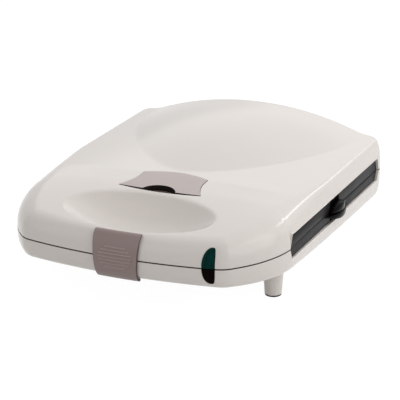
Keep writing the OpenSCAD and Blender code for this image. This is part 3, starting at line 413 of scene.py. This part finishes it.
def buildBaseSkin():
    middle = np.array([0, body["depth"] / 2])
    t = body["wall"]

    def floorRows(start, steps, lift):
        v = mix(start, middle, np.linspace(0, 1, steps)[1:-1, None, None])
        return asArray(v[..., 0], v[..., 1], baseDepth(v[..., 0], v[..., 1]) + lift)
    outer = np.concatenate([
        lipRows(baseRim, -1),
        wallRows(baseRim - body["lip"], baseIn, np.full(columns, body["wallPower"]), baseDepth, 22),
        floorRows(insetBy(baseIn), 14, 0)])
    inside = insetBy(np.full(columns, t))
    edge = insetBy(baseIn * 0.7 + t)
    turn = np.linspace(0, np.pi / 2, 10)[:, None]
    side = insetBy(baseIn * 0.7 * (1 - np.cos(turn)) + t)
    full = baseDepth(edge[:, 0], edge[:, 1]) + t
    inner = np.concatenate([
        asArray(inside[:, 0], inside[:, 1], baseRim)[None],
        asArray(side[..., 0], side[..., 1], mix(baseRim, full, np.sin(turn)))[1:],
        floorRows(edge, 8, t)])
    low = float(baseDepth(0, middle[1]))
    return shellObject("base_skin", outer, inner, [*middle, low], [*middle, low + t])


lidSkin = buildLidSkin()
baseSkin = buildBaseSkin()
print("stage: skins", len(lidSkin.data.polygons), len(baseSkin.data.polygons))


lever = dict(frontHalf=39.0, rearHalf=31.0, y0=87.0, y1=121.0, notch=17.0, notchBack=7.5, bow=1.5, play=0.4,
             depth=5.0, proud=0.3, bulge=9.0, land=3.6, pinBack=4.0, pinDown=2.4, well=9.0, edge=0.7)
lever["sweep"] = lever["y0"] - lever["play"] - bowl["rear"] - lever["land"]
leverPinY = lever["y1"] - lever["pinBack"]
leverPinZ = float(plainTop(0.0, leverPinY)) - lever["pinDown"]


def bowed(start, end, height, t):  # a shallow parabola between two points
    start, end = np.array(start, float), np.array(end, float)
    d = end - start
    side = np.array([-d[1], d[0]]) / np.linalg.norm(d)
    t = np.asarray(t)[:, None]
    return start + t * d + 4 * height * t * (1 - t) * side


def pocketBlock(grow, floorAt, name, across=41):  # solid above a floor, inside the pocket's outline
    p, u = lever["play"] + grow, np.linspace(0, 1, across)
    low = bowed([-lever["frontHalf"] - p, lever["y0"] - p], [lever["frontHalf"] + p, lever["y0"] - p],
                -lever["sweep"], u)
    high = bowed([-lever["rearHalf"] - p, lever["y1"] + p], [lever["rearHalf"] + p, lever["y1"] + p],
                 lever["bulge"] + p, u)
    v = np.linspace(0, 1, 25)[:, None, None]
    flat = mix(low, high, v)
    bow = 12 * v[..., 0] * (1 - v[..., 0]) * np.sign(u - 0.5) * np.abs(2 * u - 1) ** 6
    x, y = flat[..., 0] - bow, flat[..., 1]
    bottom = asArray(x, y, floorAt(x, y))
    top = asArray(x, y, np.full(x.shape, 60.0) if grow == 0 else plainTop(x, y) - 1.2)
    return slabMesh(name, bottom, top)


def pocketFloor(drop):  # follows the lid's middle line, with a deeper well under the lever's pin
    wellY = leverPinY - 4

    def floorAt(x, y):
        slope = plainTop(0 * x, y) - lever["depth"] - drop
        return np.where(y < wellY, slope, plainTop(0.0, wellY) - lever["well"] - drop)
    return floorAt


hinge = dict(x=72.0, radius=4.8, pin=2.0, tongue=14.0, ear=5.0, gap=0.3, rootIn=1.8, rootUp=3.6,
             rootHeight=11.0)
hingeY = body["depth"] + body["hingeOut"]


def knuckleMesh(name, x, width, up):  # arm from the back wall that ends round the hinge pin
    a = np.radians(np.arange(0, 360, 10))
    circle = np.stack([hingeY + hinge["radius"] * np.cos(a), hinge["radius"] * np.sin(a)], -1)
    y0, z0 = body["depth"] - hinge["rootIn"], up * hinge["rootUp"]
    z1 = z0 + up * hinge["rootHeight"]
    root = np.array([[y0, z0], [y0, z1], [y0 + 0.5, z0], [y0 + 0.5, z1]])
    side = np.concatenate([circle, root])
    sides = [asArray(x + s * width / 2, side[:, 0], side[:, 1]) for s in (-1, 1)]
    return hullMesh(name, np.concatenate(sides))


latch = dict(width=45.0, proud=3.0, pin=1.5, y=7.4, z=13.8, gap=0.5, lugX=14.0, lug=5.0, lugRadius=2.7,
             cheek=3.0, top=(7.0, 21.8), tip=(8.2, -20.7), topGap=1.1)
cheekX = latch["lugX"] + latch["lug"] / 2 + hinge["gap"] + latch["cheek"] / 2
grids = dict(upperBack=12.2, lowerBack=9.2)
catch = dict(y=189.0, leg=11.0, pinX=body["halfWidth"] - 6.6, pin=1.2, lugY=13.4)
window = dict(x=86.0, width=11.0, right=0.31, up=17.2, down=13.5, leftPower=2.2, rightPower=3.5, back=16.0,
              proud=0.3, gap=0.15)
post = dict(x=98.0, front=104.0, rear=280.0, radius=4.2)


def windowSides(t, grow=0.0):  # left and right edge at a share t of the half height
    right = window["width"] * window["right"]
    left = window["width"] - right
    reach = [(w + grow) * (1 - np.abs(t) ** p) ** (1 / p)
             for w, p in ((left, window["leftPower"]), (right, window["rightPower"]))]
    return window["x"] - right - reach[0], window["x"] - right + reach[1]


def windowOutline(grow):
    t = np.sin(np.radians(np.linspace(-90, 90, 41)))
    left, right = windowSides(t, grow)
    mid, half = (window["up"] - window["down"]) / 2, (window["up"] + window["down"]) / 2
    z = mid + (half + grow) * t
    return np.stack([np.concatenate([left, right]), np.concatenate([z, z])], -1)


def windowCutter(name):
    o = windowOutline(window["gap"])
    ends = [asArray(o[:, 0], y, o[:, 1]) for y in (-6.0, window["back"])]
    return hullMesh(name, np.concatenate(ends))


def catchLugs(pinZ, height, up):  # two lugs a side for the catches' pins
    made = []
    for side in (-1, 1):
        for end in (-1, 1):
            x = sorted((side * (catch["pinX"] - 3), side * (catch["pinX"] + 2.6)))
            y = catch["y"] + end * catch["lugY"]
            z = sorted((up * (pinZ - 2.6), up * (pinZ - 2.6 + height)))
            made.append(boxMesh("lug", (x[0], y - 1.2, z[0]), (x[1], y + 1.2, z[1])))
    return made


tray = pocketBlock(2.0, pocketFloor(2.0), "pocket_tray")
cheeks = [boxMesh("cheek", (s * cheekX - latch["cheek"] / 2, 6, latch["z"] - 3.4),
                  (s * cheekX + latch["cheek"] / 2, 11.6, latch["z"] + 4.6)) for s in (-1, 1)]
tongues = [knuckleMesh("tongue", s * hinge["x"], hinge["tongue"], 1) for s in (-1, 1)]
combine(lidSkin, [tray, *cheeks, *tongues, *catchLugs(grids["upperBack"] + 3, 12, 1)], "UNION")
slots = [boxMesh("slot", (s * latch["lugX"] - 2.8, -3, latch["z"] - 3.2),
                 (s * latch["lugX"] + 2.8, 9, latch["z"] + 3.8)) for s in (-1, 1)]
bores = [cylinderMesh("bore", (-90, hingeY, 0), (90, hingeY, 0), hinge["pin"] + 0.06)]
combine(lidSkin, [pocketBlock(0.0, pocketFloor(0.0), "pocket"), *slots, windowCutter("window"), *bores],
        "DIFFERENCE")
lidSkin.data = finishMesh(lidSkin.data, 32, 1e-6, False)
placed(lidSkin, "lid_shell")


# height of the band along the parting line that is painted dark as the shade in the gap between the shells
seam_shade = dict(height=0.3)


def faceField(mesh, field):  # a vector of every face, as three rows
    found = np.empty(len(mesh.polygons) * 3)
    mesh.polygons.foreach_get(field, found)
    return found.reshape(-1, 3).T


def faceCentres(mesh):  # in mm in the body frame
    return faceField(mesh, "center") * 1000 - toRow[:, None]


def setIndex(obj, *masks):  # later masks win; the first belongs to the second material
    index = np.zeros(len(obj.data.polygons), np.int32)
    for k, mask in enumerate(masks):
        index[mask] = k + 1
    obj.data.polygons.foreach_set("material_index", index)


def inSeamShade(mesh):  # the lips of a shell along the parting line, painted dark as the shade in the gap between the shells
    x, y, z = faceCentres(mesh)
    return (np.abs(z) < body["rimGap"] / 2 + seam_shade["height"]) & (y < body["depth"] + 1)


def inPocket(mesh, land=0.25):  # the faces of the pocket's floor and walls, below its rim; painted darker brown, mostly as the shade in the pocket and partly as a brownish tone
    x, y, z = faceCentres(mesh)
    t = np.clip((y - lever["y0"]) / (lever["y1"] - lever["y0"]), 0, 1)
    half = mix(lever["frontHalf"], lever["rearHalf"], t) + 1
    rear = lever["y1"] + lever["bulge"] * (1 - (x / lever["rearHalf"]) ** 2) + 2
    front = lever["y0"] - lever["play"] - lever["sweep"] * (1 - (x / (lever["frontHalf"] + 1)) ** 2) - 0.2
    return ((np.abs(x) < half) & (y > front) & (y < rear) & (z < plainTop(x, y) - land)
            & (z > plainTop(0 * x, y) - lever["well"] - 1))


print("stage: lid", len(lidSkin.data.polygons))

foot = dict(spots=((105.0, 93.0), (86.0, 291.0)), top=9.3, sole=7.6, pad=1.6, sides=64, round=0.5)
inlet = dict(x=-36.0, z=-13.0, radius=4.0, bush=1.6)


def footMesh(name, x, y):  # tapered round post with a small radius at its sole, cut off along the base
    low = -toRow[2] + foot["pad"]
    a = np.linspace(0, 2 * np.pi, foot["sides"], endpoint=False)
    sole = np.radians(np.linspace(0, 90, 5))[:, None]
    r = np.concatenate([foot["sole"] + foot["round"] * (np.sin(sole) - 1),
                        mix(foot["sole"], foot["top"], np.linspace(0, 1, 9)[1:, None])])
    height = float(baseDepth(0.0, y)) - low
    rise = np.concatenate([foot["round"] * (1 - np.cos(sole)) / height,
                           mix(foot["round"] / height, 1, np.linspace(0, 1, 9)[1:, None])])
    px, py = x + r * np.cos(a), y + r * np.sin(a)
    return closedGrid(name, asArray(px, py, mix(low, baseDepth(0.0, py) - 0.02, rise)))


feet = [footMesh("post", s * x, y) for x, y in foot["spots"] for s in (-1, 1)]
footPosts = placed(makeObject("foot_posts_round", joined("foot_posts_round", feet)), "foot_posts")
earOff = hinge["tongue"] / 2 + hinge["gap"] + hinge["ear"] / 2
ears = [knuckleMesh("ear", s * hinge["x"] + t * earOff, hinge["ear"], -1) for s in (-1, 1) for t in (-1, 1)]
combine(baseSkin, [*ears, *catchLugs(grids["lowerBack"] + 3, 14.5, -1)], "UNION")
combine(baseSkin, [windowCutter("window"),
                   cylinderMesh("bore", (-90, hingeY, 0), (90, hingeY, 0), hinge["pin"] + 0.06),
                   cylinderMesh("inlet", (inlet["x"], 312, inlet["z"]), (inlet["x"], 326, inlet["z"]),
                                inlet["radius"] + inlet["bush"] + 0.1)], "DIFFERENCE")
baseSkin.data = finishMesh(baseSkin.data, 32, 1e-6, False)
placed(baseSkin, "base_shell")
print("stage: base", len(baseSkin.data.polygons))

grip = dict(count=7, pitch=2.9, radius=1.0, middle=1.0, stand=0.55, reach=16.5, spread=3.9)
latchSize = dict(rows=200, across=110, topHalf=21.9, topAt=23.0, lowHalf=19.3, lowAt=-19.2,
                 round=1.0, topCorner=1.4, lowCorner=2.4, bow=840.0)


def frontInset(z):  # how far the wall at the middle of the front lies behind its widest point
    up = 1 - (1 - np.clip(z / float(plainTop(0.0, lid["frontIn"])), 0, 1) ** lid["frontPower"]) \
        ** (1 / lid["frontPower"])
    down = 1 - (1 - np.clip(z / float(baseDepth(0.0, base["inset"])), 0, 1) ** body["wallPower"]) \
        ** (1 / body["wallPower"])
    return np.where(z >= 0, lid["frontIn"] * up, base["inset"] * down)


def evenly(points, count):  # the same number of points on any path, at equal spacing
    points = np.asarray(points, float)
    run = np.concatenate([[0], np.cumsum(np.linalg.norm(np.diff(points, axis=0), axis=1))])
    at = np.linspace(0, run[-1], count)
    return np.stack([np.interp(at, run, points[:, k]) for k in range(2)], -1), at


def latchCurve():  # side profile of the latch's bowed face, from its top to its tip
    a = np.radians(np.linspace(0, 90, 200))
    top, tip, proud = latch["top"], latch["tip"], latch["proud"]
    upper = np.stack([top[0] - (top[0] + proud) * np.cos(a), top[1] * np.sin(a)], -1)[::-1]
    lower = np.stack([tip[0] - (tip[0] + proud) * np.cos(a) ** 0.9, tip[1] * np.sin(a) ** 0.9], -1)
    return evenly(np.concatenate([upper, lower[1:]]), latchSize["rows"])


def latchMesh():  # plate lofted along that profile, with the grip ribs raised on its face
    top = latch["top"]
    outer, along = latchCurve()
    z = np.linspace(18.5, -15, 60)
    back = frontInset(z) - np.where(z > 13, latch["topGap"], latch["gap"])
    inner, _ = evenly(np.concatenate([[[top[0] + 0.4, top[1] - 0.35]], np.stack([back, z], -1),
                                      [[4.6, -18.3], [9.0, -18.6]]]), latchSize["rows"])
    t = np.clip((latchSize["topAt"] - outer[:, 1]) / (latchSize["topAt"] - latchSize["lowAt"]), 0, 1)
    half = mix(latchSize["topHalf"], latchSize["lowHalf"], t)
    for away, corner in ((along, latchSize["topCorner"]), (along[-1] - along, latchSize["lowCorner"])):
        near = 1 - np.minimum(away / corner, 1)
        half = half - corner * (1 - np.sqrt(1 - near ** 2))
    thick = np.linalg.norm(outer - inner, axis=1)
    out = (outer - inner) / thick[:, None]
    r = np.minimum(latchSize["round"], 0.45 * thick)[:, None]
    n = latchSize["across"]
    corner = np.radians(np.concatenate([np.linspace(80, -90, 12), np.linspace(-90, -260, 12)]))
    cx = np.concatenate([np.linspace(-1, 1, n), np.ones(12), -np.ones(12)])
    cd = np.concatenate([np.ones(n), np.ones(6), np.zeros(12), np.ones(6)])
    ox = np.concatenate([np.zeros(n), np.cos(corner)])
    od = np.concatenate([np.ones(n), np.sin(corner)])
    x = cx * (half[:, None] - r) + ox * r
    d = r + cd * (thick[:, None] - 2 * r) + od * r
    k = np.arange(grip["count"]) - (grip["count"] - 1) / 2
    reach = grip["reach"] * np.sqrt(1 - (k / grip["spread"]) ** 2)
    off = np.hypot(np.maximum(np.abs(x[..., None]) - reach + grip["radius"], 0),
                   outer[:, 1][:, None, None] - grip["middle"] - k * grip["pitch"]) / grip["radius"]
    rib = np.sqrt(np.maximum(0, 1 - off ** 2)) * grip["radius"] - grip["radius"] + grip["stand"]
    d = d + np.maximum(0, rib.max(-1)) * (np.arange(len(cx)) < n)
    y = inner[:, 0][:, None] + out[:, 0][:, None] * d + x ** 2 / latchSize["bow"]
    return closedGrid("latch_plate", asArray(x, y, inner[:, 1][:, None] + out[:, 1][:, None] * d))


def lugMesh(name, x):  # arm from the latch's back to an eye round the pin
    a = np.radians(np.arange(0, 360, 12))
    eye = np.stack([latch["y"] + latch["lugRadius"] * np.cos(a), latch["z"] + latch["lugRadius"] * np.sin(a)], -1)
    y0 = float(frontInset(10.0)) - 0.4
    root = np.array([[y0, latch["z"] - 2.4], [y0, latch["z"] + 2.0], [latch["y"], latch["z"] - 2.4]])
    side = np.concatenate([eye, root])
    half = latch["lug"] / 2
    return hullMesh(name, np.concatenate([asArray(x + s * half, side[:, 0], side[:, 1]) for s in (-1, 1)]))


latchObj = makeObject("latch_plate", latchMesh())
combine(latchObj, [lugMesh("lug", s * latch["lugX"]) for s in (-1, 1)], "UNION")
combine(latchObj, [cylinderMesh("bore", (-cheekX, latch["y"], latch["z"]), (cheekX, latch["y"], latch["z"]),
                                latch["pin"] + 0.06)], "DIFFERENCE")
latchObj.data = finishMesh(latchObj.data, 40, 1e-6, False)
placed(latchObj, "latch")


def latchParts(mesh):  # the crowns of the grip ribs, painted lighter as a highlight, then the plate's upright sides, painted dark as shade
    x, y, z = faceCentres(mesh)
    curve = latchCurve()[0][::-1]
    face = np.interp(z, curve[:, 1], curve[:, 0]) + x ** 2 / latchSize["bow"]
    up = faceField(mesh, "normal")
    return (y < face - 0.22) & (up[2] > 0.1), (np.abs(up[0]) > 0.5) & (y < 9)


def leverMesh():  # wedge between its bowed front edge, with the finger notch, and its arched rear edge
    side, cut = lever["frontHalf"], lever["notch"]
    centre, start = lever["y0"] - lever["notchBack"], 0.3
    for _ in range(4):  # settles on the point where the notch meets the bowed edge
        edge = lever["y0"] - 4 * lever["bow"] * start * (1 - start)
        start = (side - math.sqrt(cut ** 2 - (edge - centre) ** 2)) / (2 * side)
    wing = bowed([-side, lever["y0"]], [side, lever["y0"]], -lever["bow"], np.linspace(0, start, 15))
    dip = math.asin((wing[-1, 1] - centre) / cut)
    a = np.linspace(np.pi - dip, dip, 49)
    arc = np.stack([cut * np.cos(a), centre + cut * np.sin(a)], -1)
    front = np.concatenate([wing[:-1], arc, wing[-2::-1] * [-1, 1]])
    u = (front[:, 0] + side) / (2 * side)
    rear = bowed([-lever["rearHalf"], lever["y1"]], [lever["rearHalf"], lever["y1"]], lever["bulge"], u)
    v = np.linspace(0, 1, 16)[:, None, None]
    flat = mix(front, rear, v)
    pinch = 12 * v[..., 0] * (1 - v[..., 0]) * np.sign(u - 0.5) * np.abs(2 * u - 1) ** 6
    x, y = flat[..., 0] - pinch, flat[..., 1]
    height = plainTop(x, y)
    return slabMesh("lever_plate", asArray(x, y, height - lever["depth"] + lever["play"]),
                    asArray(x, y, height + lever["proud"]))


leverObj = makeObject("lever_plate", leverMesh())
combine(leverObj, [cylinderMesh("bore", (-45, leverPinY, leverPinZ), (45, leverPinY, leverPinZ), 1.26)],
        "DIFFERENCE")
placed(bevelled(leverObj, lever["edge"], 40), "release_lever")
print("stage: latch and lever", len(latchObj.data.polygons), len(leverObj.data.polygons))


def wallFront(x, z):  # how far back the shells' front wall is at a width and a height
    part = slice(30, 70)
    deep = (lidIn if z > 0 else baseIn)[part]
    edge = insetBy(lidIn if z > 0 else baseIn)[part]
    full = plainTop(edge[:, 0], edge[:, 1]) if z > 0 else baseDepth(edge[:, 0], edge[:, 1])
    power = lidPower[part] if z > 0 else body["wallPower"]
    inset = deep * (1 - (1 - np.clip(z / full, 0, 1) ** power) ** (1 / power))
    pts = outline[part, :2] - outline[part, 2:] * (inset - window["proud"])[:, None]
    return np.interp(x, pts[:, 0], pts[:, 1])


def lensMesh(name, up):  # half of the window, between the parting plane and its pointed end
    mid, half = (window["up"] - window["down"]) / 2, (window["up"] + window["down"]) / 2
    t = np.sin(np.linspace(math.asin((up * 0.4 - mid) / half), up * math.radians(86), 24))
    z = mid + half * t
    left, right = windowSides(t)
    x = mix(left[:, None], right[:, None], np.linspace(0, 1, 13))
    near = asArray(x, np.stack([wallFront(row, h) for row, h in zip(x, z)]), z[:, None])
    return slabMesh(name, near, asArray(x, window["back"] + 0 * x, z[:, None]))


lampAt = dict(x=80.5, radius=2.4, length=8.0, z=2.0, prong=1.0, seat=0.2)
for node, up in (("ready_lens", 1), ("power_lens", -1)):
    lens = makeObject(node + "_round", lensMesh(node + "_round", up))
    z0 = up * (lampAt["z"] + 1)
    z1 = z0 + up * (lampAt["length"] - 2)
    prongs = [boxMesh("prong", (lampAt["x"] + c - 0.5, window["back"] - 1, min(z0, z1)),
                      (lampAt["x"] + c + 0.5, window["back"] + 5.8, max(z0, z1)))
              for c in (-3.1, 3.1)]
    combine(lens, prongs, "UNION")
    placed(bevelled(lens, 0.35, 50), node)
print("stage: window")

rounded = dict(upper_grid=0.7, lower_grid=0.7, foot_pads=0.3, cord_gland=0.5, catch_upper_right=0.5,
               catch_upper_left=0.5, catch_lower_right=0.4, catch_lower_left=0.4)
soft = {node: softened(node, width) for node, width in rounded.items()}
print("stage: rounded copies")


class Wire:  # a node's output that can be reckoned with
    def __init__(self, tree, socket):
        self.tree, self.socket = tree, socket

    def reckon(self, operation, first, second):
        node = self.tree.nodes.new("ShaderNodeMath")
        node.operation = operation
        plug(self.tree, node.inputs[0], first)
        plug(self.tree, node.inputs[1], second)
        return Wire(self.tree, node.outputs[0])

    def __add__(self, other):
        return self.reckon("ADD", self, other)

    def __sub__(self, other):
        return self.reckon("SUBTRACT", self, other)

    def __rsub__(self, other):
        return self.reckon("SUBTRACT", other, self)

    def __mul__(self, other):
        return self.reckon("MULTIPLY", self, other)

    def __truediv__(self, other):
        return self.reckon("DIVIDE", self, other)

    def __rtruediv__(self, other):
        return self.reckon("DIVIDE", other, self)

    def __pow__(self, other):
        return self.reckon("POWER", self, other)

    def max(self, other):
        return self.reckon("MAXIMUM", self, other)

    __radd__, __rmul__ = __add__, __mul__


def plug(tree, socket, value):
    if isinstance(value, Wire):
        tree.links.new(value.socket, socket)
    else:
        socket.default_value = value


class Graph:  # one material or world, built node by node
    def __init__(self, tree):
        self.tree = tree
        tree.nodes.clear()

    def add(self, kind, settings=(), inputs=(), out=0):
        node = self.tree.nodes.new("ShaderNode" + kind)
        for key, value in dict(settings).items():
            setattr(node, key, value)
        for key, value in dict(inputs).items():
            plug(self.tree, node.inputs[key], value)
        return Wire(self.tree, node.outputs[out]) if node.outputs else node

    def place(self):
        return self.add("TexCoord", out="Object")

    def noise(self, scale, detail=2.0, at=None):
        return self.add("TexNoise", inputs=dict(Vector=at or self.place(), Scale=scale, Detail=detail))

    def ramp(self, value, low, high, start=0.0, end=1.0):  # straight line between two values, clamped
        return self.add("MapRange", inputs={0: value, 1: low, 2: high, 3: start, 4: end})

    def blend(self, factor, first, second):  # mixes two colours
        return self.add("Mix", dict(data_type="RGBA"), {0: factor, 6: first, 7: second}, 2)

    def bump(self, height, distance, strength=1.0, normal=None):
        inputs = dict(Height=height, Distance=distance / 1000, Strength=strength)
        if normal:
            inputs["Normal"] = normal
        return self.add("Bump", inputs=inputs)


def tone(red, green, blue, gain=1.0):  # a screen colour as the renderer's own values
    c = np.array([red, green, blue]) / 255
    c = np.where(c > 0.04045, ((c + 0.055) / 1.055) ** 2.4, c / 12.92) * gain
    return (*np.clip(c, 0, 1).tolist(), 1.0)


def finish(name, color, rough, depth=0.03, patch=30.0, grain=900.0, bump=0.01, wear=0.06, metallic=0.0,
           coat=0.0, coatRough=0.1, spec=0.5, stretch=None, **more):  # a surface with fine variation
    mat = bpy.data.materials.new(name)
    mat.use_nodes = True
    g = Graph(mat.node_tree)
    at = g.place()
    if stretch:
        at = g.add("Mapping", inputs=dict(Vector=at, Scale=stretch))
    slow, fine = g.noise(patch, 3.0, at), g.noise(grain, 4.0, at)
    low = tuple(c * (1 - depth) for c in color[:3]) + (1.0,)
    high = tuple(min(1.0, c * (1 + depth)) for c in color[:3]) + (1.0,)
    base = g.blend(g.ramp(slow * 0.7 + fine * 0.3, 0.35, 0.65), low, high)
    inputs = {"Base Color": base, "Metallic": metallic, "Specular IOR Level": spec, "Coat Weight": coat,
              "Coat Roughness": coatRough,
              "Roughness": g.ramp(slow * 0.5 + g.noise(grain / 6, 2.0, at) * 0.5, 0.3, 0.7,
                                  rough - wear / 2, rough + wear / 2),
              "Normal": g.bump(fine, bump, 0.6)}
    inputs.update(more)
    shader = g.add("BsdfPrincipled", inputs=inputs)
    g.add("OutputMaterial", inputs=dict(Surface=shader))
    return mat


looks = dict(
    body=finish("body", tone(227, 220, 214), 0.15, 0.008, 18.0, 1500.0, 0.005, 0.03, spec=0.45),
    # painted shade on the shells' lips along the parting line
    seam_shade=finish("seam_shade", tone(92, 80, 75), 0.5, 0.05, 18.0, 1500.0, 0.01, spec=0.2),
    cover=finish("cover", tone(216, 211, 205), 0.5, 0.015, 25.0, 1200.0, 0.02),
    latch=finish("latch", tone(144, 126, 122), 0.42, 0.02, 30.0, 1400.0, 0.02, 0.06),
    # painted highlight: lighter tone on the upward-facing crowns of the latch's grip ribs
    rib=finish("rib", tone(160, 143, 139), 0.36, 0.02, 30.0, 1400.0, 0.01, 0.05),
    # painted shade on the latch's upright sides, for the gap beside the plate
    latch_side_shade=finish("latch_side_shade", tone(92, 79, 76), 0.5, 0.03, 30.0, 1400.0, 0.02, spec=0.3),
    lever=finish("lever", tone(188, 175, 172), 0.4, 0.02, 30.0, 1400.0, 0.02, 0.06),
    # painted shade on the lever's upright sides and notch wall, for the dark gap round it
    lever_side_shade=finish("lever_side_shade", tone(30, 24, 23), 0.6, 0.05, 40.0, 900.0, 0.02, spec=0.15),
    # darker brown painted on the lid's pocket floor and walls, mostly as shade in the pocket, partly a brownish
    # tone
    pocket=finish("pocket", tone(120, 105, 101), 0.6, 0.05, 40.0, 900.0, 0.02, spec=0.2),
    catch=finish("catch", tone(5, 5, 6), 0.24, 0.1, 60.0, 900.0, 0.006, 0.06, spec=0.06),
    grid=finish("grid", tone(22, 19, 21), 0.5, 0.14, 40.0, 1600.0, 0.05, 0.1, spec=0.2),
    reflector=finish("reflector", tone(196, 197, 200), 0.36, 0.04, 12.0, 500.0, 0.01, 0.12, metallic=1.0,
                     stretch=(30.0, 1.0, 1.0)),
    element=finish("element", tone(92, 86, 82), 0.48, 0.2, 60.0, 900.0, 0.03, 0.12, metallic=0.9),
    spring_steel=finish("spring_steel", tone(176, 178, 182), 0.34, 0.06, 60.0, 700.0, 0.01, 0.1, metallic=1.0),
    pin=finish("pin", tone(190, 190, 194), 0.26, 0.05, 80.0, 900.0, 0.006, 0.1, metallic=1.0),
    screw=finish("screw", tone(170, 170, 174), 0.32, 0.06, 90.0, 900.0, 0.008, 0.1, metallic=1.0),
    pad=finish("pad", tone(38, 37, 37), 0.75, 0.12, 60.0, 1200.0, 0.05, 0.1),
    gland=finish("gland", tone(34, 34, 35), 0.6, 0.12, 60.0, 1200.0, 0.04, 0.1),
    ceramic=finish("ceramic", tone(228, 224, 212), 0.4, 0.03, 60.0, 700.0, 0.02),
    thermostat=finish("thermostat", tone(206, 200, 184), 0.45, 0.06, 90.0, 900.0, 0.02),
    fuse=finish("fuse", tone(200, 190, 160), 0.4, 0.06, 90.0, 900.0, 0.01),
    lamp=finish("lamp", tone(235, 190, 120), 0.2, 0.05, 90.0, 900.0, 0.005),
    ready_lens=finish("ready_lens", tone(0, 50, 44), 0.16, 0.6, 260.0, 900.0, 0.004, 0.03, spec=0.04,
                      stretch=(2.4, 1.0, 0.1)),
    power_lens=finish("power_lens", tone(13, 5, 4), 0.16, 0.4, 260.0, 900.0, 0.004, 0.03, spec=0.02,
                      stretch=(2.4, 1.0, 0.1)))

nodeSlot = {part["node"]: part["material_slot"] for part in frame["record"]["subparts"]}
nodeSlot.update(upper_catch_pins="pin", lower_catch_pins="pin")


def dress(obj, slot):
    obj.data.materials.clear()
    obj.data.materials.append(looks[slot])


for node, obj in nodes.items():
    dress(obj, nodeSlot[node])
for obj, slot in ((lidSkin, "body"), (baseSkin, "body"), (footPosts, "body"), (latchObj, "latch"),
                  (leverObj, "lever")):
    dress(obj, slot)
for obj, extra, masks in (
        # the lid's pocket faces and parting-line lips take painted shade
        (lidSkin, ("pocket", "seam_shade"), (inPocket(lidSkin.data), inSeamShade(lidSkin.data))),
        # the base's parting-line lips take the painted shade
        (baseSkin, ("seam_shade",), (inSeamShade(baseSkin.data),)),
        # the rib crowns take the painted highlight, the upright sides the painted shade
        (latchObj, ("rib", "latch_side_shade"), latchParts(latchObj.data)),
        # the lever's upright faces take the painted shade
        (leverObj, ("lever_side_shade",), (np.abs(faceField(leverObj.data, "normal")[2]) < 0.5,))):
    for slot in extra:
        obj.data.materials.append(looks[slot])
    setIndex(obj, *masks)
for node in ("ready_lens", "power_lens"):
    dress(bpy.data.objects[node + "_round"], node)
for node, obj in soft.items():
    dress(obj, nodeSlot[node])
print("stage: finishes")

view = dict(azimuth=23.75, elevation=19.51, distance=1.63636, target=(0.00606, -0.00361, 0.0505), lens=162)


def linked(name, data):
    obj = bpy.data.objects.new(name, data)
    bpy.context.scene.collection.objects.link(obj)
    return obj


cam = linked("camera", bpy.data.cameras.new("camera"))
a, e = math.radians(view["azimuth"]), math.radians(view["elevation"])
away = np.array([math.sin(a) * math.cos(e), -math.cos(a) * math.cos(e), math.sin(e)])
cam.location = np.array(view["target"]) + away * view["distance"]
cam.rotation_euler = (math.pi / 2 - e, 0, a)
cam.data.lens, cam.data.sensor_width = view["lens"], 36
bpy.context.scene.camera = cam
bpy.context.scene.view_settings.view_transform = "Standard"

# Share of full light that each lamp gives at the object, where it hangs, its length and width,
# and the direction that its length follows
lamps = dict(top=(0.05, (0.1, 0.0, 1.5), 1.6, 1.2, (1, 0, 0)),
             back=(0.52, (0.2, 0.95, 1.3), 3.4, 2.3, (1, 0, 0)),
             right=(0.3, (1.5, -0.1, 0.9), 1.8, 1.4, (0, 1, 0)),
             rim=(0.05, (0.7, 1.14, 0.8), 0.75, 0.1, (0.33, -0.48, 0.39)),
             front=(0.07, (-0.7, -1.4, 0.7), 1.4, 1.0, (1, -0.5, 0)))
for name, (share, at, length, width, along) in lamps.items():
    data = bpy.data.lights.new(name, "AREA")
    data.shape = "RECTANGLE"
    data.energy = share * math.pi ** 2 * np.dot(at, at)
    data.size, data.size_y = length, width
    lamp = linked("lamp_" + name, data)
    lamp.location = at
    z = (lamp.location - mathutils.Vector((0, 0, 0.05))).normalized()
    y = z.cross(mathutils.Vector(along)).normalized()
    lamp.rotation_euler = mathutils.Matrix((y.cross(z), y, z)).transposed().to_euler()

room = dict(light=0.4, floorShare=0.86, floorGlow=1.12, floorTone=0.8, floorHalf=6.0)


def seen(g):  # 1 where the camera, a mirror or glass looks, 0 for the light that falls on things
    path = g.tree.nodes.new("ShaderNodeLightPath")
    ray = [Wire(g.tree, path.outputs[k]) for k in ("Is Camera Ray", "Is Glossy Ray", "Is Transmission Ray")]
    return ray[0].max(ray[1]).max(ray[2])


world = bpy.data.worlds.new("world")
bpy.context.scene.world = world
world.use_nodes = True
g = Graph(world.node_tree)
glow = g.add("MixShader", inputs={
    0: seen(g), 1: g.add("Background", inputs=dict(Color=(1, 1, 1, 1), Strength=room["light"])),
    2: g.add("Background", inputs=dict(Color=(1, 1, 1, 1), Strength=1.0))})
g.add("OutputWorld", inputs=dict(Surface=glow))

half = room["floorHalf"]
floorMesh = bpy.data.meshes.new("floor")
floorMesh.from_pydata([(-half, -half, 0), (half, -half, 0), (half, half, 0), (-half, half, 0)], [], [(0, 1, 2, 3)])
floor = linked("floor", floorMesh)
mat = bpy.data.materials.new("floor")
mat.use_nodes = True
g = Graph(mat.node_tree)
plain = g.add("BsdfPrincipled", inputs={"Base Color": (*[room["floorTone"]] * 3, 1.0), "Roughness": 0.9,
                                        "Specular IOR Level": 0.1})
light = g.add("Emission", inputs=dict(Color=(1, 1, 1, 1), Strength=room["floorGlow"]))
g.add("OutputMaterial", inputs=dict(Surface=g.add("MixShader", inputs={
    0: seen(g) * room["floorShare"], 1: plain, 2: light})))
floorMesh.materials.append(mat)
